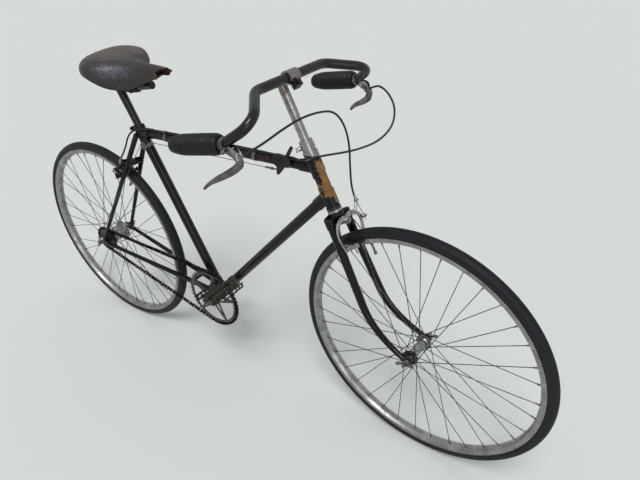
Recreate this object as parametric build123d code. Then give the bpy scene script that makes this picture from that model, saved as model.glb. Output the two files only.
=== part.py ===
from build123d import *
import os
from math import cos, pi, radians, sin, sqrt, tan

# Path racer bicycle with lugged frame, three-speed rear hub and turned-down handlebar.
# Built with X forward, Y to the rider's left and Z up, above the rear tyre's contact
# point, and written out with its origin at the middle of the saddle's top.

# Wheels
RIM_SEAT_RADIUS = 311.0
RIM_WALL_HEIGHT = 6.5
RIM_DEPTH = 8.5
RIM_WIDTH = 25.0
RIM_WALL = 1.8
TYRE_HEIGHT = 29.0
TYRE_WIDTH = 29.0
TYRE_NECK_WIDTH = 22.0
TYRE_BULGE_HEIGHT = 16.0
TYRE_TREAD_WIDTH = 13.0
SPOKES = 36
SPOKE_RADIUS = 1.0
SPOKE_CROSSINGS = 3
SPOKE_HOLE_INSET = 3.0
SPOKE_DISH = 2.5
FRONT_FLANGE_RADIUS = 20.0
FRONT_FLANGE_SPREAD = 33.0
FRONT_BARREL_RADIUS = 12.0
FRONT_HUB_HALF = 40.0
REAR_FLANGE_RADIUS = 34.0
REAR_FLANGE_SPREAD = 27.0
REAR_BARREL_RADIUS = 25.5
REAR_HUB_HALF = 36.0
FLANGE_THICKNESS = 3.0
FRONT_AXLE_RADIUS = 4.0
REAR_AXLE_RADIUS = 4.75
HUB_RUNNING_GAP = 0.3
CONE_LENGTH = 5.0
WING_REACH = 19.0
FRONT_WING_TURN = 15.0
REAR_WING_TURN = 49.0

# Frame geometry
WHEELBASE = 1175.0
CHAINSTAY_LENGTH = 505.0
BRACKET_DROP = 72.0
SEAT_ANGLE = 66.2
HEAD_ANGLE = 66.1
SEAT_TUBE_LENGTH = 560.0
TOP_JOINT_DROP = 19.0
FORK_RAKE = 75.4
FORK_SPAN = 408.0
HEAD_LENGTH = 124.0
TOP_JOINT_BELOW_HEAD_TOP = 26.0
DOWN_JOINT_ABOVE_HEAD_FOOT = 28.0
STEERING_REST = -4.3

# Tubes
HEAD_RADIUS = 15.9
HEAD_WALL = 1.5
SEAT_RADIUS = 14.3
SEAT_WALL = 1.5
TOP_RADIUS = 12.7
DOWN_RADIUS = 14.3
LUG_WALL = 2.2
LUG_REACH = 46.0
LUG_COLLAR = 9.0
LUG_EDGE = 3.0
LUG_SCOOP = 12.0
SEAT_LUG_FOOT = 26.0
BRAZE_GAP = 0.05
STEERER_RADIUS = 12.7
BINDER_DROP = 9.0
BINDER_RADIUS = 6.5
BINDER_HALF = 11.0
BINDER_SLOT = 2.0
BINDER_BOLT_RADIUS = 3.5
BINDER_HEAD_RADIUS = 5.5

# Bottom bracket and drive
SHELL_RADIUS = 20.5
SHELL_WIDTH = 68.0
SHELL_BORE = 17.0
CUP_DEPTH = 12.0
CUP_FLANGE = 2.5
BB_AXLE_RADIUS = 8.0
CHAINLINE = 42.0
CHAIN_PITCH = 12.7
RING_TEETH = 48
SPROCKET_TEETH = 20
ROLLER_RADIUS = 3.9
TOOTH_HEIGHT = 2.8
TOOTH_THICKNESS = 2.6
# Where a tooth's foot, flanks and top lie, as shares of the pitch
TOOTH_SHARES = (0.2, 0.38, 0.47, 0.53, 0.62, 0.8)
RING_RIM = 13.0
RING_HUB_RADIUS = 26.0
RING_STRUT_WIDTH = 6.5
RING_ARMS = 5
DRIVER_RADIUS = 19.0
DRIVER_REACH = 9.0
CHAIN_INNER_HALF = 2.0
CHAIN_OUTER_HALF = 3.6
CHAIN_PLATE_HALF = 4.2
CHAIN_WAIST_HALF = 3.0
CRANK_LENGTH = 170.0
CRANK_ANGLE = 46.0
CRANK_FACE = 54.0
CRANK_THICKNESS = 13.0
CRANK_BOSS_RADIUS = 15.0
CRANK_EYE_RADIUS = 11.0
COTTER_RADIUS = 4.75
COTTER_OFFSET = 8.5
COTTER_HALF = 19.0
PEDAL_CLEARANCE = 8.0
PEDAL_LENGTH = 100.0
PEDAL_TILT = -6.0
PEDAL_SPINDLE_RADIUS = 4.5
PEDAL_BARREL_RADIUS = 9.0
CAGE_HALF = 30.0
CAGE_HEIGHT = 24.0
CAGE_TEETH = 9
CAGE_TOOTH = 3.0
CAGE_THICKNESS = 2.0
CAGE_TIES = (10.0, 82.0)

# Stays
STAY_SPREAD = 57.5
SEAT_STAY_TOP_RADIUS = 8.0
SEAT_STAY_END_RADIUS = 5.8
SEAT_STAY_CAP = 7.0
CHAIN_STAY_RADIUS = 8.5
CHAIN_STAY_END_RADIUS = 6.2
CHAIN_STAY_TAPER = 0.94
CHAIN_STAY_SWEEP = 200.0
STAY_TIP_LENGTH = 22.0
REAR_END_THICKNESS = 5.0
REAR_END_SEAT = 8.0
BRIDGE_RADIUS = 5.5
BRIDGE_SHARE = 0.27

# Fork
CROWN_TOP = 14.0
CROWN_BOTTOM = 46.0
CROWN_RADIUS = 18.5
CROWN_DOME = 97.0
SOCKET_RADIUS = 13.4
STEERER_TOP = 160.0
BLADE_TOP_RADIUS = 11.2
BLADE_BEND_RADIUS = 10.0
BLADE_TIP_RADIUS = 6.6
BLADE_TOP_SPREAD = 30.0
BLADE_TIP_SPREAD = 50.0
# Points down each blade: distance below the head tube, forward and sideways
BLADE_LINE = {"crown": (22, 0, 30), "bend": (255, 0, 40)}
BLADE_BEND_LEAD = 75.0
BLADE_SECTIONS = 9
FORK_END_RADIUS = 11.0
FORK_END_THICKNESS = 5.0

# Bearings of the steering: rings above the head as height and step in from the race
RACE_RADIUS = 18.0
RACE_HEIGHT = 8.0
HEAD_RINGS = ((9, 0.0), (6, 2.4), (12, 0.6), (9, 1.4))
CLIP_TURN = 225.0
CLIP_REACH = 30.0

# Handlebar and stem
STEM_RADIUS = 11.1
STEM_FOOT = 70.0
STEM_HEIGHT = 308.0
STEM_CLAMP_WALL = 4.5
STEM_CLAMP_WIDTH = 34.0
STEM_REACH = 36.0
STEM_LIP_ANGLE = -45.0
STEM_LIP = (18.0, 20.0, 16.0)
STEM_SLOT = 2.5
BAR_RADIUS = 11.1
BAR_BEND_RADII = (44.0, 36.0, 30.0)
# Corners of the bent bar: forward, left and up from the middle of its clamp
BAR_BENDS = {
    "shoulder": (0, 114, 0),
    "front": (78.5, 202, -24),
    "turn": (11.5, 229.5, -69),
    "end": (-132.5, 242, -94),
}
GRIP_LENGTH = 141.0
GRIP_OVERHANG = 3.0
# Rounded ends of the grip: distance in from its end, and radius there
GRIP_PROFILE = ((0.0, 15.0), (2.0, 18.5), (6.0, 21.2), (12.0, 22.5))
LEVER_CLAMP_WIDTH = 14.0
LEVER_RADIUS = 4.2
LEVER_BEND = 24.0
FERRULE_RADIUS = 3.8
FERRULE_LENGTH = 10.0
# Hand lever: forward, left and up from the middle of its clamp
LEVER_POINTS = {"pivot": (29, 3, -3), "elbow": (36, -1, -25), "tip": (-48, 33, -96)}

# Saddle and its post
POST_INSERT = 90.0
POST_RISE = 133.0
PIN_LENGTH = 158.0
PIN_RISE = 5.0
PIN_RADIUS = 11.1
CLIP_SHARE = 0.5
RAIL_RADIUS = 3.5
SADDLE_BEHIND = 60.2
SADDLE_ABOVE = 57.9
SADDLE_THICKNESS = 5.0
SADDLE_ROLL = 5.0
# Saddle sections from cantle to nose: forward, half width, top and drop of the edge
SADDLE_SECTIONS = (
    (0, 58, 20, 20),
    (20, 82, 25, 32),
    (60, 95, 25, 50),
    (105, 78, 18, 66),
    (150, 50, 8, 62),
    (205, 28, 0, 39),
    (255, 20, -6, 30),
    (300, 16, -12, 24),
)
# Torn edge of the nose, forward and left
NOSE_TEAR = ((286, -34), (281, -12), (295, -6), (284, 3), (298, 9), (290, 34), (340, 34), (340, -34))
# Rail from nose to cantle: forward, half spacing in Y, and up from the saddle's rear
RAIL_ROUTE = ((280, 3.5, -35), (245, 22, -52), (75, 24, -48), (18, 48, -14))
RAIL_BENDS = (12, 14)
NOSE_PLATE = ((272, 5), (293, 4), (308, 1))
NOSE_PLATE_THICKNESS = 3.0
NOSE_PLATE_LEVEL = -28.0
RIDER_FROM_SADDLE = (140, 0, 5)

# Brakes
CALIPER_DROP = 40.0
ARM_THICKNESS = 4.5
CALIPER_BOLT_RADIUS = 4.0
CALIPER_NUT_RADIUS = 8.0
CALIPER_NUT_HEIGHT = 6.0
BLOCK_GAP = 5.0
BLOCK_LENGTH = 40.0
BLOCK_DEPTH = 8.0
BLOCK_HEIGHT = 9.0
HOLDER_WALL = 3.0
STUD_LENGTH = 9.0
STUD_RADIUS = 3.5
FRONT_SHOE_FORWARD = 24.0
FRONT_SHOE_LEAD = 10.0
REAR_SHOE_REAR = 13.0
REAR_SHOE_LEAD = -12.5
# Caliper arms: layer 0 or 1 out from the seat, then left, up and half width at each bend
FRONT_ARMS = (
    (1, ((0, 0, 9), (-20, 8, 7), (-42, -9, 6.5), (-45, -30, 6), (-37, -60, 6.5))),
    (0, ((0, 0, 9), (22, 7, 7), (46, -2, 6.5), (51, -18, 6), (46, -38, 6), (37, -60, 6.5))),
    (1, ((-20, 8, 6), (10, 24, 5), (54, 30, 6))),
)
REAR_ARMS = (
    (0, ((0, 0, 9), (30, -2, 7), (46, -26, 6), (34, -60, 6.5))),
    (0, ((0, 0, 9), (-20, 14, 6), (-40, 22, 6))),
    (1, ((0, 0, 9), (-30, -2, 7), (-52, -24, 6), (-34, -60, 6.5))),
)
# Cable ends at the calipers, up, forward and left of the head tube's foot
FRONT_FERRULE = {"foot": (-14, 26, 54), "top": (-2, 26, 54)}
FRONT_CLAMP = {"rear": (-57, 19, 57), "front": (-57, 36, 57), "middle": (-57, 28, 57)}
# and down, rearward and left of the stay bridge
REAR_FERRULE = {"foot": (-16, 14, -44), "top": (-30, 16, -42)}
REAR_CLAMP = {"front": (22, 9, -56), "rear": (22, 26, -56), "middle": (22, 20, -56)}
CABLE_STOP_RADIUS = 4.5
CABLE_BOLT_RADIUS = 5.0

# Cables
CABLE_RADIUS = 2.5
WIRE_RADIUS = 0.9
# Front brake's cable from the right-hand lever: forward, left and up from the head's foot
FRONT_CABLE_ROUTE = (
    (45, -222, 205),
    (58, -176, 208),
    (74, -124, 218),
    (85, -68, 223),
    (88, -12, 217),
    (81, 38, 203),
    (68, 68, 168),
    (52, 79, 120),
    (37, 66, 66),
    (26, 54, 16),
    (26, 54, -2),
)
# Rear brake's cable from the left-hand lever round to the head's right side, likewise
LOOP_ROUTE = (
    (46, 228, 208),
    (68, 231, 210),
    (88, 226, 200),
    (108, 215, 177),
    (124, 194, 146),
    (121, 163, 112),
    (96, 124, 95),
    (60, 88, 97),
    (42, 50, 107),
    (34, 17, 117),
    (26, -5, 123),
    (14, -21, 128),
    (-2, -27.5, 131),
)
# then in X, Y and Z from the top tube's joint with the head
CABLE_FROM_HEAD = ((-31, -24.6, 23.4), (-44, -18.5, 21.5), (-59, -10.5, 18.8))
# on the top tube: back from the head and turned from its top to the right
CABLE_ON_TUBE = ((91, 23), (152, 18), (216, 14.5), (280, 12.5), (346, 12), (412, 13), (478, 16), (540, 22))
# past the seat lug: X, Y and Z from the top tube's joint with the seat tube
CABLE_PAST_LUG = ((38, -12, 18.4), (2.6, -20, 14.4), (-30, -27, -4))
# and down, rearward and left of the stay bridge
CABLE_TO_CALIPER = ((-68, 12, -36), (-31, 16, -41.8))
# Each clip sits halfway along the run that starts at this point on the tube
CABLE_CLIPS = (1, 4, 6)
CLIP_WALL = 1.2
CLIP_HALF = 5.0

# Hub gear's control
TRIGGER_BACK = 91.0
TRIGGER_DEPTH = 6.0
TRIGGER_RISE = 8.0
TRIGGER_CLAMP_WALL = 2.0
TRIGGER_CLAMP_HALF = 9.0
LEVER_THICKNESS = 3.0
# Plate, tail and lever of the quadrant: forward, up and half width
TRIGGER_PLATE = ((-9, 0, 17), (14, 1, 14))
TRIGGER_TAIL = ((0, -4, 14), (-13, -34, 3.5))
TRIGGER_LEVER = ((16, 10, 5), (34, 38, 4))
PULLEY_RADIUS = 12.0
PULLEY_HALF = 3.0
PULLEY_ARM_RADIUS = 4.0
PULLEY_BAND_DROP = 60.0
# Pulley from the top tube's joint with the seat tube, in X, Y and Z
PULLEY_OFFSET = (28.6, -24, -28.7)
# Wire's start from the quadrant's middle, and its end from the rear axle, in X, Y and Z
WIRE_START = (-17, -17, -25.2)
WIRE_END = ((18, -84, 22), (4, -83, 6))
WIRE_OVER_PULLEY = (90, 130, 170)

# Seating gaps
SEAT_GAP = 0.3
PIVOT_GAP = 0.3

LOW = (Align.CENTER, Align.CENTER, Align.MIN)


def rod(start, end, radius, end_radius=None):
    """Round bar or taper from one point to another."""
    start = Vector(*start)
    path = Vector(*end) - start
    plane = Plane(origin=start, z_dir=path)
    if end_radius is None:
        return plane * Cylinder(radius, path.length, align=LOW)
    return plane * Cone(radius, end_radius, path.length, align=LOW)


def sleeve(start, end, outer, inner):
    """Round tube with an open bore."""
    start = Vector(*start)
    end = Vector(*end)
    along = (end - start).normalized()
    return rod(start, end, outer) - rod(start - along, end + along, inner)


def across(centre, radius, half_length):
    """Round bar that lies across the bicycle, along Y."""
    centre = Vector(*centre)
    reach = Vector(0, half_length, 0)
    return rod(centre - reach, centre + reach, radius)


def bent_tube(points, radii, radius):
    """Round bar along straight runs joined by arcs."""
    path = FilletPolyline(*points, radius=radii)
    return sweep(Plane(origin=path @ 0, z_dir=path % 0) * Circle(radius), path=path)


def mirrored(shape):
    """The same shape on the other side of the bicycle."""
    return shape.mirror(Plane.XZ)


def strap(points, plane, thickness):
    """Flat arm through points given as X, Y and half width on a plane."""
    shape = None
    for (x0, y0, r0), (x1, y1, r1) in zip(points, points[1:]):
        first = Pos(x0, y0) * Circle(r0)
        second = Pos(x1, y1) * Circle(r1)
        piece = make_hull([*first.edges(), *second.edges()])
        shape = piece if shape is None else shape + piece
    return extrude(plane * shape, amount=thickness)


def cable(points, radius):
    """Cable through points, its bends as wide as the runs beside them allow."""
    points = [Vector(*point) for point in points]
    radii = []
    for before, corner, after in zip(points, points[1:], points[2:]):
        run_in = corner - before
        run_out = after - corner
        half_turn = radians(run_in.get_angle(run_out)) / 2
        radii.append(0.45 * min(run_in.length, run_out.length) / tan(half_turn))
    print("cable bends, mm:", [round(bend, 1) for bend in radii])
    return bent_tube(points, radii, radius)


def side_plate(sketch, y_middle, thickness):
    """A plate drawn in X and Z, standing at a place along Y."""
    plane = Plane(origin=(0, y_middle + thickness / 2, 0), x_dir=(1, 0, 0), z_dir=(0, -1, 0))
    return extrude(plane * sketch, amount=thickness)


# Points of the frame
TYRE_RADIUS = RIM_SEAT_RADIUS + TYRE_HEIGHT
RIM_EDGE_RADIUS = RIM_SEAT_RADIUS + RIM_WALL_HEIGHT
RIM_INNER_RADIUS = RIM_SEAT_RADIUS - RIM_DEPTH
REAR_AXLE = Vector(0, 0, TYRE_RADIUS)
BRACKET = Vector(sqrt(CHAINSTAY_LENGTH**2 - BRACKET_DROP**2), 0, TYRE_RADIUS - BRACKET_DROP)
FRONT_AXLE = Vector(WHEELBASE, 0, TYRE_RADIUS)
HEAD_UP = Vector(-cos(radians(HEAD_ANGLE)), 0, sin(radians(HEAD_ANGLE)))
HEAD_FORWARD = Vector(sin(radians(HEAD_ANGLE)), 0, cos(radians(HEAD_ANGLE)))
SEAT_UP = Vector(-cos(radians(SEAT_ANGLE)), 0, sin(radians(SEAT_ANGLE)))
HEAD_FOOT = FRONT_AXLE - HEAD_FORWARD * FORK_RAKE + HEAD_UP * FORK_SPAN
STEERING_AXIS = Axis(HEAD_FOOT, HEAD_UP)


def on_head(up, forward=0.0, left=0.0):
    """Point measured from the head tube's foot, up the steering axis."""
    return HEAD_FOOT + HEAD_UP * up + HEAD_FORWARD * forward + Vector(0, left, 0)


def on_seat_tube(up, left=0.0):
    """Point measured from the bottom bracket, up the seat tube."""
    return BRACKET + SEAT_UP * up + Vector(0, left, 0)


SEAT_JOINT = on_seat_tube(SEAT_TUBE_LENGTH - TOP_JOINT_DROP)
TOP_JOINT = on_head(HEAD_LENGTH - TOP_JOINT_BELOW_HEAD_TOP)
DOWN_JOINT = on_head(DOWN_JOINT_ABOVE_HEAD_FOOT)
SEAT_TOP = on_seat_tube(SEAT_TUBE_LENGTH)
CHAIN_STAY_ROOT = BRACKET + Vector(0, 18, 0)
CHAIN_STAY_BEND = BRACKET + Vector(-74.8, 22, 11)
CHAIN_STAY_TIP = REAR_AXLE + Vector(24, STAY_SPREAD, -5)
SEAT_STAY_ROOT = SEAT_JOINT + Vector(-5.4, 18, -5.6)
SEAT_STAY_TIP = REAR_AXLE + Vector(15, STAY_SPREAD, 15)
POST_TOP = on_seat_tube(SEAT_TUBE_LENGTH + POST_RISE)
POST_FRONT = POST_TOP + Vector(PIN_LENGTH, 0, PIN_RISE)
SADDLE = POST_TOP + Vector(-SADDLE_BEHIND, 0, SADDLE_ABOVE)
RIDER = SADDLE + Vector(*RIDER_FROM_SADDLE)


# Main frame
def head_tube():
    return sleeve(on_head(0), on_head(HEAD_LENGTH), HEAD_RADIUS, HEAD_RADIUS - HEAD_WALL)


def head_clear():
    return rod(on_head(-LUG_REACH), on_head(HEAD_LENGTH + LUG_REACH), HEAD_RADIUS + BRAZE_GAP)


def seat_clear():
    return rod(BRACKET, on_seat_tube(SEAT_TUBE_LENGTH + LUG_REACH), SEAT_RADIUS + BRAZE_GAP)


def shell_clear():
    return across(BRACKET, SHELL_RADIUS + BRAZE_GAP, SHELL_WIDTH)


def top_tube():
    return rod(SEAT_JOINT, TOP_JOINT, TOP_RADIUS) - seat_clear() - head_clear()


def down_tube():
    return rod(BRACKET, DOWN_JOINT, DOWN_RADIUS) - shell_clear() - head_clear() - seat_clear()


def seat_tube():
    tube = sleeve(on_seat_tube(SHELL_RADIUS / 2), SEAT_TOP, SEAT_RADIUS, SEAT_RADIUS - SEAT_WALL)
    return tube - shell_clear()


def head_lugs():
    """Collars with a scooped front edge, and sockets with a point above and below."""
    lugs = []
    for joint, far, radius, scoop_end in (
        (TOP_JOINT, SEAT_JOINT, TOP_RADIUS, -1),
        (DOWN_JOINT, BRACKET, DOWN_RADIUS, 1),
    ):
        along = (far - joint).normalized()
        height = (joint - HEAD_FOOT).dot(HEAD_UP)
        low = max(height - radius - LUG_COLLAR, LUG_EDGE)
        high = min(height + radius + LUG_COLLAR, HEAD_LENGTH - LUG_EDGE)
        collar = rod(on_head(low), on_head(high), HEAD_RADIUS + LUG_WALL)
        socket = rod(joint, joint + along * LUG_REACH, radius + LUG_WALL)
        bore = rod(joint, joint + along * LUG_REACH * 2, radius + BRAZE_GAP)
        edge = high if scoop_end > 0 else low
        scoop = across(on_head(edge, HEAD_RADIUS), LUG_SCOOP, HEAD_RADIUS * 2)
        notch = across(joint + along * (LUG_REACH + LUG_EDGE), radius * 0.75, HEAD_RADIUS * 2)
        lugs.append(collar + socket - scoop - notch - head_clear() - bore)
    return Compound(children=lugs)


def seat_lug():
    """Lug at the saddle, slit behind and closed by a binder bolt."""
    along = (TOP_JOINT - SEAT_JOINT).normalized()
    collar = rod(SEAT_JOINT - SEAT_UP * SEAT_LUG_FOOT, SEAT_TOP + SEAT_UP, SEAT_RADIUS + LUG_WALL)
    socket = rod(SEAT_JOINT, SEAT_JOINT + along * LUG_REACH, TOP_RADIUS + LUG_WALL)
    bore = rod(SEAT_JOINT, SEAT_JOINT + along * LUG_REACH * 2, TOP_RADIUS + BRAZE_GAP)
    notch = across(SEAT_JOINT + along * (LUG_REACH + LUG_EDGE), TOP_RADIUS * 0.75, SEAT_RADIUS * 2)
    binder = SEAT_TOP - SEAT_UP * BINDER_DROP - Vector(SEAT_RADIUS + LUG_WALL + BINDER_RADIUS, 0, 0)
    ears = across(binder, BINDER_RADIUS, BINDER_HALF)
    ears += rod(binder, binder + Vector(BINDER_RADIUS + LUG_WALL, 0, 0), BINDER_RADIUS)
    slot = Pos(*binder) * Box(2 * BINDER_RADIUS + SEAT_RADIUS, BINDER_SLOT, 2 * LUG_REACH)
    bolt = across(binder, BINDER_BOLT_RADIUS, BINDER_HALF)
    for side in (-1, 1):
        head = binder + Vector(0, side * BINDER_HALF, 0)
        bolt += rod(head, head + Vector(0, side * 4, 0), BINDER_HEAD_RADIUS)
    return collar + socket + ears - slot + bolt - seat_clear() - bore - notch


def bottom_bracket():
    """Shell with sockets for the seat tube, the down tube and both chain stays."""
    shell = across(BRACKET, SHELL_RADIUS, SHELL_WIDTH / 2)
    sockets = [
        (BRACKET, SEAT_UP, SEAT_RADIUS),
        (BRACKET, (DOWN_JOINT - BRACKET).normalized(), DOWN_RADIUS),
    ]
    for side in (-1, 1):
        root = Vector(CHAIN_STAY_ROOT.X, side * CHAIN_STAY_ROOT.Y, CHAIN_STAY_ROOT.Z)
        bend = Vector(CHAIN_STAY_BEND.X, side * CHAIN_STAY_BEND.Y, CHAIN_STAY_BEND.Z)
        sockets.append((root, (bend - root).normalized(), CHAIN_STAY_RADIUS))
    for start, along, radius in sockets:
        shell += rod(start, start + along * LUG_REACH, radius + LUG_WALL)
    for start, along, radius in sockets:
        bore = rod(start, start + along * LUG_REACH * 2, radius + BRAZE_GAP)
        shell -= bore - across(BRACKET, SHELL_RADIUS, SHELL_WIDTH)
    return shell - across(BRACKET, SHELL_BORE, SHELL_WIDTH)


def bracket_cups():
    cups = []
    for side in (-1, 1):
        face = BRACKET + Vector(0, side * SHELL_WIDTH / 2, 0)
        out = Vector(0, side, 0)
        cup = rod(face - out * CUP_DEPTH, face, SHELL_BORE - BRAZE_GAP)
        cup += rod(face, face + out * CUP_FLANGE, SHELL_BORE + 1.5)
        cups.append(cup - across(BRACKET, BB_AXLE_RADIUS + PIVOT_GAP, SHELL_WIDTH))
    return Compound(children=cups)


def rear_end_outline():
    """Track end in X and Z, with a slot open to the rear."""
    front = (CHAIN_STAY_TIP.X - REAR_AXLE.X, CHAIN_STAY_TIP.Z - REAR_AXLE.Z)
    top = (SEAT_STAY_TIP.X - REAR_AXLE.X, SEAT_STAY_TIP.Z - REAR_AXLE.Z)
    eye = Circle(14)
    outline = None
    for place in (front, top):
        arm = make_hull([*eye.edges(), *(Pos(*place) * Circle(REAR_END_SEAT)).edges()])
        outline = arm if outline is None else outline + arm
    outline += make_hull([*Circle(12).edges(), *(Pos(-16, 0) * Circle(12)).edges()])
    slot = Pos(-20, 0) * Rectangle(40, 2 * REAR_AXLE_RADIUS + 0.6)
    slot += Circle(REAR_AXLE_RADIUS + 0.3)
    return Pos(REAR_AXLE.X, REAR_AXLE.Z) * (outline - slot)


def rear_end():
    return side_plate(rear_end_outline(), STAY_SPREAD, REAR_END_THICKNESS)


def end_slot(tip, along):
    """Space for the fork end's plate in the tip of a stay."""
    flat = Vector(along.X, 0, along.Z).normalized()
    plane = Plane(origin=tip, x_dir=flat, z_dir=(0, 1, 0))
    reach = 2 * (REAR_END_SEAT + SEAT_GAP)
    return plane * Box(reach, reach * 2, REAR_END_THICKNESS + 2 * BRAZE_GAP)


def tapered_stay(tip, root, tip_radius, root_radius):
    """Straight stay whose parallel tip is slotted for the fork end."""
    along = (root - tip).normalized()
    shoulder = tip + along * STAY_TIP_LENGTH
    end = rod(tip, shoulder, tip_radius) - end_slot(tip, along)
    return end + rod(shoulder, root, tip_radius, root_radius)


def chain_stay():
    """Tapered stay that bends a little to run parallel past the tyre."""
    full = CHAIN_STAY_TIP + (CHAIN_STAY_BEND - CHAIN_STAY_TIP) * CHAIN_STAY_TAPER
    stay = tapered_stay(CHAIN_STAY_TIP, full, CHAIN_STAY_END_RADIUS, CHAIN_STAY_RADIUS)
    stay += bent_tube([full, CHAIN_STAY_BEND, CHAIN_STAY_ROOT], [CHAIN_STAY_SWEEP], CHAIN_STAY_RADIUS)
    return stay - shell_clear()


def seat_stay():
    """Tapered stay with a capped top that lies against the seat lug."""
    along = (SEAT_STAY_ROOT - SEAT_STAY_TIP).normalized()
    stay = tapered_stay(SEAT_STAY_TIP, SEAT_STAY_ROOT, SEAT_STAY_END_RADIUS, SEAT_STAY_TOP_RADIUS)
    cap_end = SEAT_STAY_ROOT + along * SEAT_STAY_CAP
    stay += rod(SEAT_STAY_ROOT, cap_end, SEAT_STAY_TOP_RADIUS, SEAT_STAY_TOP_RADIUS / 2)
    collar = rod(BRACKET, on_seat_tube(SEAT_TUBE_LENGTH * 2), SEAT_RADIUS + LUG_WALL + BRAZE_GAP)
    return stay - collar


def stay_pair(stay, bridge_at, stay_radius):
    """Both stays and the bridge brazed between them."""
    half = abs(bridge_at.Y) - stay_radius / 2
    middle = Vector(bridge_at.X, 0, bridge_at.Z)
    return stay + mirrored(stay) + across(middle, BRIDGE_RADIUS, half)


def seat_stays():
    at = SEAT_STAY_ROOT + (SEAT_STAY_TIP - SEAT_STAY_ROOT) * BRIDGE_SHARE
    return stay_pair(seat_stay(), at, SEAT_STAY_END_RADIUS)


def chain_stays():
    at = CHAIN_STAY_BEND + (CHAIN_STAY_TIP - CHAIN_STAY_BEND) * 0.08
    return stay_pair(chain_stay(), at, CHAIN_STAY_END_RADIUS)


def rear_ends():
    plate = rear_end()
    return Compound(children=[plate, mirrored(plate)])


# Wheels
def tyre():
    """Tyre outline as flats: seat, sidewalls, shoulders and tread."""
    half = [
        (RIM_EDGE_RADIUS + SEAT_GAP, TYRE_NECK_WIDTH / 2),
        (RIM_SEAT_RADIUS + TYRE_BULGE_HEIGHT, TYRE_WIDTH / 2),
        (TYRE_RADIUS, TYRE_TREAD_WIDTH / 2),
    ]
    points = half + [(x, -y) for x, y in reversed(half)]
    return revolve(make_face(Polyline(*points, close=True)), axis=Axis.Y)


def rim():
    """Rolled rim with a well between two walls, its sides drawn in to the spoke bed."""
    half = RIM_WIDTH / 2
    side = [
        (RIM_SEAT_RADIUS, half - RIM_WALL),
        (RIM_EDGE_RADIUS, half - RIM_WALL),
        (RIM_EDGE_RADIUS, half),
        (RIM_SEAT_RADIUS - 4, half),
        (RIM_INNER_RADIUS, half * 0.45),
    ]
    points = side + [(x, -y) for x, y in reversed(side)]
    return revolve(make_face(Polyline(*points, close=True)), axis=Axis.Y)


def hub(barrel, flange, spread, bore, half_width):
    """Hub shell with two spoke flanges, turned about Y."""
    inner = spread - FLANGE_THICKNESS / 2
    outer = spread + FLANGE_THICKNESS / 2
    half = [
        (bore, -half_width),
        (bore + 4, -half_width),
        (barrel * 0.8, -outer),
        (flange, -outer),
        (flange, -inner),
        (flange - 2 * SPOKE_HOLE_INSET, -inner),
        (barrel, -inner + 3),
    ]
    points = half + [(x, -y) for x, y in reversed(half)]
    return revolve(make_face(Polyline(*points, close=True)), axis=Axis.Y)


def spokes(flange, spread):
    """Tangent spokes, laced three cross, with their elbows inside and outside each flange."""
    hole = flange - SPOKE_HOLE_INSET
    tip = RIM_INNER_RADIUS - SEAT_GAP
    step = 360.0 / SPOKES
    edge_run = sqrt(flange**2 - hole**2) + 2 * SPOKE_RADIUS
    lift = (spread - SPOKE_DISH) / (tip - hole) * edge_run
    face = FLANGE_THICKNESS / 2 + SEAT_GAP
    laced = []
    for index in range(SPOKES):
        side = 1 if index % 2 else -1
        lead = 1 if index % 4 < 2 else -1
        rim_angle = radians(index * step)
        hub_angle = rim_angle + radians(lead * SPOKE_CROSSINGS * 2 * step)
        stand = SPOKE_RADIUS + (lift if lead > 0 else 0)
        start = Vector(hole * cos(hub_angle), side * (spread + lead * (face + stand)), hole * sin(hub_angle))
        end = Vector(tip * cos(rim_angle), side * SPOKE_DISH, tip * sin(rim_angle))
        elbow = Vector(start.X, side * (spread + lead * face), start.Z)
        laced.append(rod(start, end, SPOKE_RADIUS) + rod(elbow, start, SPOKE_RADIUS))
    return Compound(children=laced)


def wing_nut(face, out, axle_radius, turn):
    """Wing nut whose boss starts at a face across Y, its two ears turned about the axle."""
    face = Vector(*face)
    base = rod(face, face + out * 8, axle_radius + 6, axle_radius + 4)
    ears = Vector(cos(radians(turn)), 0, sin(radians(turn)))
    for lead in (-1, 1):
        root = face + out * 5 + ears * lead * (axle_radius + 2)
        tip = face + out * 11 + ears * lead * (axle_radius + WING_REACH)
        base += rod(root, tip, 3.0, 4.5)
    return base


def axle(centre, radius, spread, plate, turn):
    """Axle with its bearing cones inside the fork ends and wing nuts outside them."""
    end = spread + plate / 2
    body = across(centre, radius, end + 18)
    for side in (-1, 1):
        out = Vector(0, side, 0)
        body += wing_nut(centre + out * end, out, radius, turn)
        cone = centre + out * (spread - plate / 2)
        body += rod(cone - out * CONE_LENGTH, cone, radius + 3.5)
    return body


def front_axle():
    return axle(FRONT_AXLE, FRONT_AXLE_RADIUS, BLADE_TIP_SPREAD, FORK_END_THICKNESS, FRONT_WING_TURN)


def rear_axle():
    return axle(REAR_AXLE, REAR_AXLE_RADIUS, STAY_SPREAD, REAR_END_THICKNESS, REAR_WING_TURN)


# Drive
def pitch_radius(teeth):
    return CHAIN_PITCH / 2 / sin(pi / teeth)


def toothed_disc(teeth):
    """Sprocket blank in X and Z about its own centre."""
    pitch = pitch_radius(teeth)
    root = pitch - ROLLER_RADIUS
    tip = pitch + TOOTH_HEIGHT
    step = 360 / teeth
    points = []
    for tooth in range(teeth):
        for share, radius in zip(TOOTH_SHARES, (root, pitch, tip, tip, pitch, root)):
            angle = radians((tooth + share) * step)
            points.append((radius * cos(angle), radius * sin(angle)))
    return make_face(Polyline(*points, close=True))


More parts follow.
